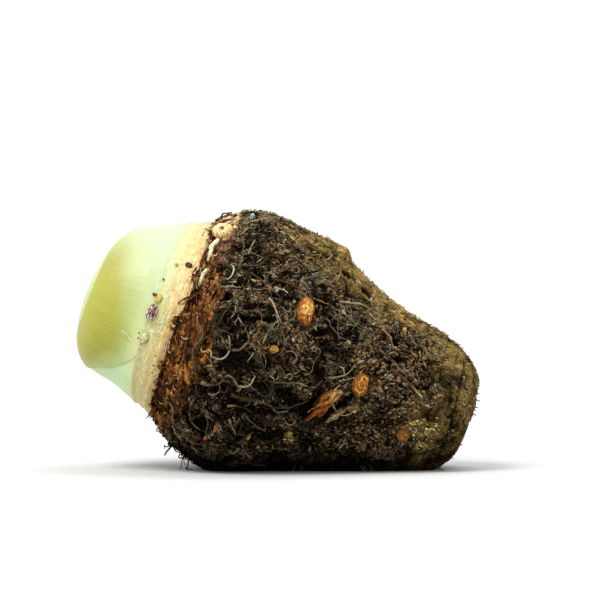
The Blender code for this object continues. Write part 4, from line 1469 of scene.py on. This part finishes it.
# Single roots and shreds that the photo shows: how proud and how thick they are, in mm, the colours
# of their two ends, and control points on the front, as X and Z in mm.
PALE_THREAD = (0.82, 0.82, 0.62)
MARKED_ROOTS = (
    (1.2, 2.5, (0.72, 0.66, 0.42), (0.50, 0.40, 0.20),
     ((-25.6, 102.8), (-27.4, 99.4), (-28.6, 96.4), (-29.8, 93.2))),
    (1.0, 2.0, (0.60, 0.53, 0.32), (0.40, 0.30, 0.14),
     ((-30.8, 89.6), (-32.2, 85.8), (-33.8, 82.2))),
    (0.5, 0.6, (0.03, 0.015, 0.01), (0.03, 0.015, 0.01),
     ((-28.6, 105.6), (-30.4, 106.8), (-32.6, 107.8))),
    (0.7, 0.8, (0.10, 0.030, 0.02), (0.06, 0.02, 0.015),
     ((-43.0, 75.0), (-38.5, 78.0), (-34.5, 79.5), (-31.0, 78.3))),
    (0.8, 1.0, (0.09, 0.032, 0.02), (0.16, 0.06, 0.03),
     ((-1.0, 85.5), (6.0, 83.6), (11.0, 80.0), (14.0, 77.0))),
    (0.8, 1.5, (0.10, 0.050, 0.02), (0.46, 0.38, 0.18),
     ((50.0, 46.0), (55.0, 42.0), (60.0, 37.0), (64.5, 33.0))),
    (1.0, 0.9, (0.13, 0.09, 0.055), (0.10, 0.07, 0.04),
     ((-34.2, 66.6), (-31.7, 61.4), (-36.0, 55.1), (-34.9, 47.7), (-37.0, 44.4))),
    (0.8, 0.8, (0.13, 0.042, 0.02), (0.07, 0.02, 0.01),
     ((-46.8, 46.4), (-44.3, 40.0), (-45.7, 35.6))),
    (0.9, 0.8, (0.20, 0.12, 0.06), (0.12, 0.06, 0.03),
     ((-41.0, 58.5), (-40.0, 52.0), (-42.5, 46.0), (-41.5, 41.0))),
    (0.9, 0.8, (0.06, 0.018, 0.012), (0.09, 0.03, 0.02),
     ((-36.5, 72.0), (-38.0, 67.5), (-41.0, 66.0), (-43.5, 62.0))),
    (0.7, 0.8, (0.10, 0.040, 0.02), (0.06, 0.02, 0.012),
     ((-30.5, 98.5), (-33.0, 93.0), (-33.5, 87.0))),
    (0.9, 0.7, (0.05, 0.030, 0.02), (0.03, 0.02, 0.012),
     ((-20.0, 99.0), (-22.5, 96.5), (-21.5, 93.0), (-24.0, 90.5))),
    (0.8, 0.9, (0.10, 0.07, 0.04), (0.05, 0.035, 0.02),
     ((-52.0, 30.0), (-49.0, 27.5), (-49.5, 22.0), (-47.0, 17.5))),
    (0.4, 0.42, PALE_THREAD, PALE_THREAD,
     ((-53.2, 68.1), (-50.2, 66.6), (-48.2, 70.7), (-46.7, 72.6))),
    (0.4, 0.46, PALE_THREAD, PALE_THREAD,
     ((-55.7, 63.1), (-52.7, 62.6), (-50.7, 63.9), (-48.4, 67.5))),
    (0.3, 0.28, PALE_THREAD, PALE_THREAD,
     ((-68.2, 63.1), (-64.7, 60.1), (-62.8, 57.1), (-61.2, 54.6))),
    (0.3, 0.30, PALE_THREAD, PALE_THREAD,
     ((-63.4, 49.6), (-61.8, 50.8), (-60.7, 53.1), (-60.4, 56.0))),
    (1.0, 1.0, (0.12, 0.09, 0.05), (0.07, 0.05, 0.03),
     ((-48.5, 33.0), (-45.0, 29.0), (-44.5, 23.0), (-40.0, 18.0), (-34.0, 16.5))),
)


def build_marked_roots(tree):
    """The roots listed, each laid on the surface under its line."""
    steps, sides = 26, 6
    lines, ups, radii, tints = [], [], [], []
    share = np.linspace(0, 1, steps)
    for proud, thick, start, end, controls in MARKED_ROOTS:
        line, up = [], []
        for x, z in smooth_line(controls, steps):
            hit, normal = front_hit(tree, x, z)
            if hit is not None:
                line.append(np.array(hit))
                up.append(np.array(normal if normal.y < 0 else -normal))
            else:
                line.append(line[-1] + (0, 0, 0.2 * MM))
                up.append(up[-1])
        line, up = np.array(line), unit(blurred(np.array(up), 3, 0))
        rise = proud * (0.35 + np.sin(pi * share) + 0.28 * np.sin(11 * share + thick * 9))
        lines.append(blurred(line, 1, 0) + up * rise[:, None] * MM)
        ups.append(up)
        radii.append(thick / 2 * MM * (1 - 0.55 * share**2) * (1 + 0.12 * np.sin(23 * share + proud * 40)))
        tints.append(np.array(start) + (np.array(end) - start) * smoothstep(0.5, 1.0, share)[:, None])
    points, faces, _ = tubes(np.array(lines), np.array(ups), np.array(radii), sides)
    tint = np.repeat(np.concatenate(tints), sides, axis=0)
    add_piece("marked_roots", (points, faces, tint), fibre_look("marked_root"), "root")


# Rootlets on the ground in front: X where each leaves the corm, and how far it reaches forward and
# sideways. Then the short roots at the root end: X, Z, and how far each runs in X and Z. In mm.
GROUND_ROOTS = ((8.0, 2.6, -1.6), (10.5, 2.0, 1.2), (36.5, 5.0, 4.0), (39.0, 4.6, -1.5),
                (41.0, 5.6, 2.0), (70.5, 6.0, 3.5), (73.0, 5.5, -1.0))
END_ROOTS = ((89.3, 33.5, 1.2, 0.6), (89.4, 31.0, 1.4, -0.3), (88.6, 27.6, 1.3, 0.2),
             (88.0, 25.0, 1.1, -0.7))
FRONT_LIMIT = -61.5 * MM  # no rootlet reaches further forward


def build_fringe(skin_tree):
    """Free roots that hang and hook below the shoulder, rootlets on the ground in front, and the
    few that stick out at the root end."""
    steps, sides = 12, 5
    lines, widths, colours = [], [], []

    def add(controls, width, colour):
        lines.append(smooth_line(controls, steps))
        widths.append(width)
        colours.append(np.array(colour))

    for _ in range(11):
        y, z = rng.uniform(-20, 2), rng.uniform(4, 17)
        start = Vector((-FAR_OUTSIDE, y * MM, z * MM))
        hit, normal, _, _ = skin_tree.ray_cast(start, Vector((1, 0, 0)))
        if hit is None:
            continue
        heading = unit(np.array(normal) + (-0.2, 0.0, -0.6))
        stride = rng.uniform(1.0, 2.0) * MM
        walked = [np.array(hit) - heading * 0.9 * MM, np.array(hit) + heading * 0.6 * MM]
        for _ in range(5):
            heading = unit(heading + 0.95 * rng.normal(size=3) * (1.0, 0.8, 1.0) + (0.10, 0.0, -0.15))
            walked.append(walked[-1] + heading * stride)
        add(walked, rng.uniform(0.30, 0.62), np.array((0.012, 0.010, 0.007)) * rng.uniform(0.4, 3.0))
    for x, reach, side in GROUND_ROOTS:
        hit, _ = front_hit(skin_tree, x, 3)
        if hit is None:
            continue
        start = np.array(hit) + (0.0, 0.8 * MM, 0.0)
        mid = start + np.array((0.4 * side, -0.6 - 0.5 * reach * 0.6, -1.6)) * MM
        end = np.array((start[0] + side * MM, max(start[1] - reach * MM, FRONT_LIMIT), 0.35 * MM))
        add((start, mid, end), 0.36, (0.055, 0.042, 0.020))
    for x, z, dx, dz in END_ROOTS:
        start = np.array((x - 2.5, -4.0, z)) * MM
        end = np.array((x + dx, -6.0, z + dz)) * MM
        add((start, (start + end) / 2 + (0, 0, 0.4 * MM), end), 0.42, (0.050, 0.036, 0.016))
    line = np.array(lines)
    radius = np.array(widths)[:, None] * MM * (1 - 0.5 * np.linspace(0, 1, steps))
    up = np.broadcast_to(unit(np.array((0.25, -0.9, 0.35))), line.shape)
    points, faces, along = tubes(line, up, radius, sides)
    tint = np.repeat(np.array(colours), steps * sides, axis=0) * (0.8 + 0.5 * along[:, None])
    add_piece("free_roots", (points, faces, tint), fibre_look("free_root"), "root")


THREAD_COLOURS = np.array(((0.78, 0.78, 0.58), (0.60, 0.48, 0.22), (0.82, 0.84, 0.70)))


def build_threads(tree):
    """Fine pale threads that cross the ring and the stub beside the striped bud."""
    places, steps = [], 12
    for _ in range(75):
        x, z = rng.normal(-53.0, 3.0), rng.uniform(48, 82)
        x += (z - 65) * 0.30
        hit, normal = front_hit(tree, x, z)
        if hit is not None:
            heading = Vector((rng.normal(-0.3, 0.5), 0.0, rng.normal(-0.6, 0.6))).normalized()
            places.append((hit, normal, heading))
    points, faces, _ = laid_tubes(tree, places, steps, (2.5, 8.0), 0.22, 0.10, 0.25,
                                  (0.09, 0.19), 0.4)
    tint = np.repeat(THREAD_COLOURS[rng.integers(0, 3, len(places))], steps * 4, axis=0)
    add_piece("pale_threads", (points, faces, tint), fibre_look("pale_thread", 0.5), "leaf_base")


def build_stout_roots(skin_tree):
    """The thick roots that can be told apart, wrinkled and lifted clear of the rough bark."""
    nodes = sorted(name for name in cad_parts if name.startswith("root_"))
    points, faces, normals = remeshed(nodes, ROOT_VOXEL, 3)
    up = np.array([skin_tree.find_nearest(Vector(p))[1] for p in points])
    wrinkle = noise_at(points, 1.6 * MM, 31.0, 3)
    waver = np.column_stack([noise_at(points, 5 * MM, seed, 1) for seed in (33.0, 34.0, 35.0)])
    lifted = points + up * 0.55 * MM + normals * (0.16 * wrinkle - 0.12)[:, None] * MM
    lifted += waver * 0.6 * MM
    above_ground(lifted, ROOT_GAP)
    share = noise_at(points, 9 * MM, 36.0, 2)
    pale, dark = np.array((0.135, 0.098, 0.050)), np.array((0.030, 0.020, 0.009))
    mixed = smoothstep(-0.3, 0.5, share + 0.5 * wrinkle)[:, None]
    # Painted shade: darker on the side that faces the bark, and darker towards the ground.
    facing = 0.6 + 0.6 * smoothstep(-0.3, 0.9, (normals * up).sum(1))[:, None]
    tint = (dark + (pale - dark) * mixed) * facing * (1 - 0.6 * ground_shade_share(lifted))[:, None]
    add_piece("stout_roots", (lifted, faces, tint), fibre_look("stout_root"), "root", *nodes)


# ---------------------------------------------------------------------------------------------
# Stage


CAMERA_HEIGHT = radians(0.9)
CAMERA_DISTANCE = 1.5
CAMERA_LENS, CAMERA_SENSOR = 200, 36  # mm
LOOK_AT = Vector((0.0101, 0.0, 0.0760))
LIGHTS_AT = Vector((0, 0, 0.05))
# Lights: name, place, size in metres and power in watts.
LIGHTS = (("key", (-0.45, -0.55, 1.10), 0.5, 12.5), ("top", (0.25, 0.15, 1.20), 0.6, 4.5))


def floor_look():
    """A pale floor that is a little darker in the light near the object."""
    look = Look("floor")
    reach = look.node("ShaderNodeVectorMath", operation="LENGTH")
    look.link(look.place, reach.inputs[0])
    far = look.math("DIVIDE", reach.outputs["Value"], 2.0, True)
    shade = look.ramp(far, (0.15, 0.58), (0.60, 0.96))
    look.set(Base_Color=shade, Roughness=0.9, Specular_IOR_Level=0.0)
    return look.material


def aimed(name, data, place, ahead):
    """A light or a camera at this place that faces this way."""
    obj = bpy.data.objects.new(name, data)
    obj.location = place
    obj.rotation_euler = ahead.to_track_quat("-Z", "Y").to_euler()
    bpy.context.scene.collection.objects.link(obj)
    return obj


def build_stage():
    """The floor, the white studio and its lights."""
    bpy.ops.mesh.primitive_plane_add(size=6.0, location=(0, 0, -0.05 * MM))
    floor = bpy.context.object
    floor.name = "floor"
    floor.data.materials.append(floor_look())
    world = bpy.data.worlds.new("studio")
    world.use_nodes = True
    bpy.context.scene.world = world
    background = world.node_tree.nodes["Background"]
    background.inputs["Color"].default_value = (1.0, 1.0, 1.0, 1.0)
    background.inputs["Strength"].default_value = 1.05
    for name, place, size, power in LIGHTS:
        data = bpy.data.lights.new(name, "AREA")
        data.size = size
        data.energy = power
        aimed(name, data, place, LIGHTS_AT - Vector(place))
    bpy.context.scene.view_settings.view_transform = "Standard"


def build_camera():
    """The camera in front, a touch above level."""
    data = bpy.data.cameras.new("camera")
    data.lens = CAMERA_LENS
    data.sensor_width = CAMERA_SENSOR
    data.clip_start = 0.01
    back = Vector((0, -cos(CAMERA_HEIGHT), sin(CAMERA_HEIGHT)))
    bpy.context.scene.camera = aimed("camera", data, LOOK_AT + back * CAMERA_DISTANCE, -back)


# ---------------------------------------------------------------------------------------------
# Where chips and roots grow, as shares from 0 to 1


GROWTHS = ("side_bud_1", "side_bud_2", "side_bud_3", "side_bud_4", "side_bud_5", "shoulder_bud",
           "bark_flake")


def clear_of_growths(points):
    """0 on the side buds, the shoulder bud and the flake, 0.1 in the pits, and 1 elsewhere."""
    keep = 1 - 0.9 * (pit_depth(points) > 0)
    for node in GROWTHS:
        low, high = (np.array(corner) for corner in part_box(node))
        middle, half = (low + high) / 2, (high - low) / 2 + 0.4 * MM
        reach = np.abs(points - middle) / half
        keep = keep * (reach[:, (0, 2)].max(1) + 2 * (reach[:, 1] > 3) > 0.95)
    return keep


def past_band(points, fade):
    """0 on the band of scales beside the ring, rising to 1 over this many mm past it."""
    edge = band_width(angle_of(points)) - 1.0 + 2.5 * noise_at(points, 7 * MM, 13.0, 2)
    return smoothstep(0, fade, along_of(points) / MM - edge) * clear_of_growths(points)


def mat_density(points):
    """Clumps of roots, thinner towards the root end."""
    clumps = smoothstep(-0.45, 0.25, noise_at(points, 9 * MM, 12.0, 2))
    thinner = 1 - 0.65 * smoothstep(38, 75, along_of(points) / MM)
    return (0.15 + 0.85 * clumps) * mat_share(points) * past_band(points, 5) * thinner


def fuzz_density(points):
    """Fine fuzz on all but the olive bark."""
    return past_band(points, 6) * (1 - 0.95 * olive_share(points))


def crumb_density(points):
    """Crumbs in the root mat."""
    return past_band(points, 5) * mat_share(points)


def chip_density(points):
    """Chips wherever the root mat is thin."""
    return past_band(points, 7) * (1.0 - 0.75 * mat_share(points)) * (1 - 0.85 * olive_share(points))


def band_density(points):
    """Fibres on the band of scales, mostly on its sides."""
    angles = angle_of(points)
    width = band_width(angles)
    sides = smoothstep(0.4, 1.2, from_top(angles))
    place = bump_at(along_of(points) / MM, 0.45 * width + 2.5, 0.45 * width + 1.0)
    return place * (0.15 + 0.85 * sides) * clear_of_growths(points)


def pale_density(points):
    """Pale chips on the worn patches."""
    return pale_share(points) * clear_of_growths(points)


build_camera()
build_stage()
skin_tree = build_corm_skin()
stub_radius = build_stub()
build_ring(stub_radius)
build_scales(skin_tree)
build_seam(piece_tree("corm_skin", "ring_skin", "papery_scales"))
build_buds(skin_tree)
build_torn_root(skin_tree)
build_collar_growths(skin_tree)
front_tree = piece_tree("ring_skin", "sheath_skin", "stalk_skin")
build_nubs(front_tree, "ring_nubs", RING_NUBS, "leaf_base", 0.45)
build_nubs(skin_tree, "bark_nubs", BARK_NUBS, "bark", 0.6)
build_threads(front_tree)
build_stout_roots(skin_tree)
build_marked_roots(piece_tree("corm_skin", "ring_skin", "papery_scales", "sheath_skin", "stalk_skin"))
build_fringe(skin_tree)
build_roots(skin_tree, "mat_roots_1", 680, (6, 17), (0.50, 1.15), 13, 5, 0.17, 1.3, mat_density)
build_roots(skin_tree, "mat_roots_2", 2600, (1.8, 5.5), (0.30, 0.70), 8, 4, 0.42, 1.2, mat_density, 0.6)
build_roots(skin_tree, "fuzz_1", 5300, (1.3, 4.0), (0.19, 0.42), 5, 3, 0.45, 0.7, fuzz_density, 0.8)
build_roots(skin_tree, "band_fibres", 400, (2.5, 6.5), (0.35, 1.0), 10, 5, 0.42, 1.2, band_density, 0.9,
            BAND_PALETTE, 0.8, 30)
build_chips(skin_tree, "chips_1", 3600, (1.4, 4.6), (0.5, 1.7), (-0.2, 0.5), chip_density, 0.35)
build_chips(skin_tree, "chips_2", 3800, (0.7, 2.2), (0.3, 1.0), (0.0, 0.7), chip_density, 0.6)
build_chips(skin_tree, "mat_crumbs", 2600, (0.5, 1.7), (0.3, 0.9), (-0.3, 0.9), crumb_density, 0.8)
build_chips(skin_tree, "pale_chips", 420, (0.8, 3.2), (0.4, 1.1), (0.1, 0.6), pale_density, 0.3,
            PALE_PALETTE, 60)
build_chips(skin_tree, "grit", 260, (0.25, 0.7), (0.2, 0.5), (0.2, 1.0), fuzz_density, 0.8,
            GRIT_PALETTE)
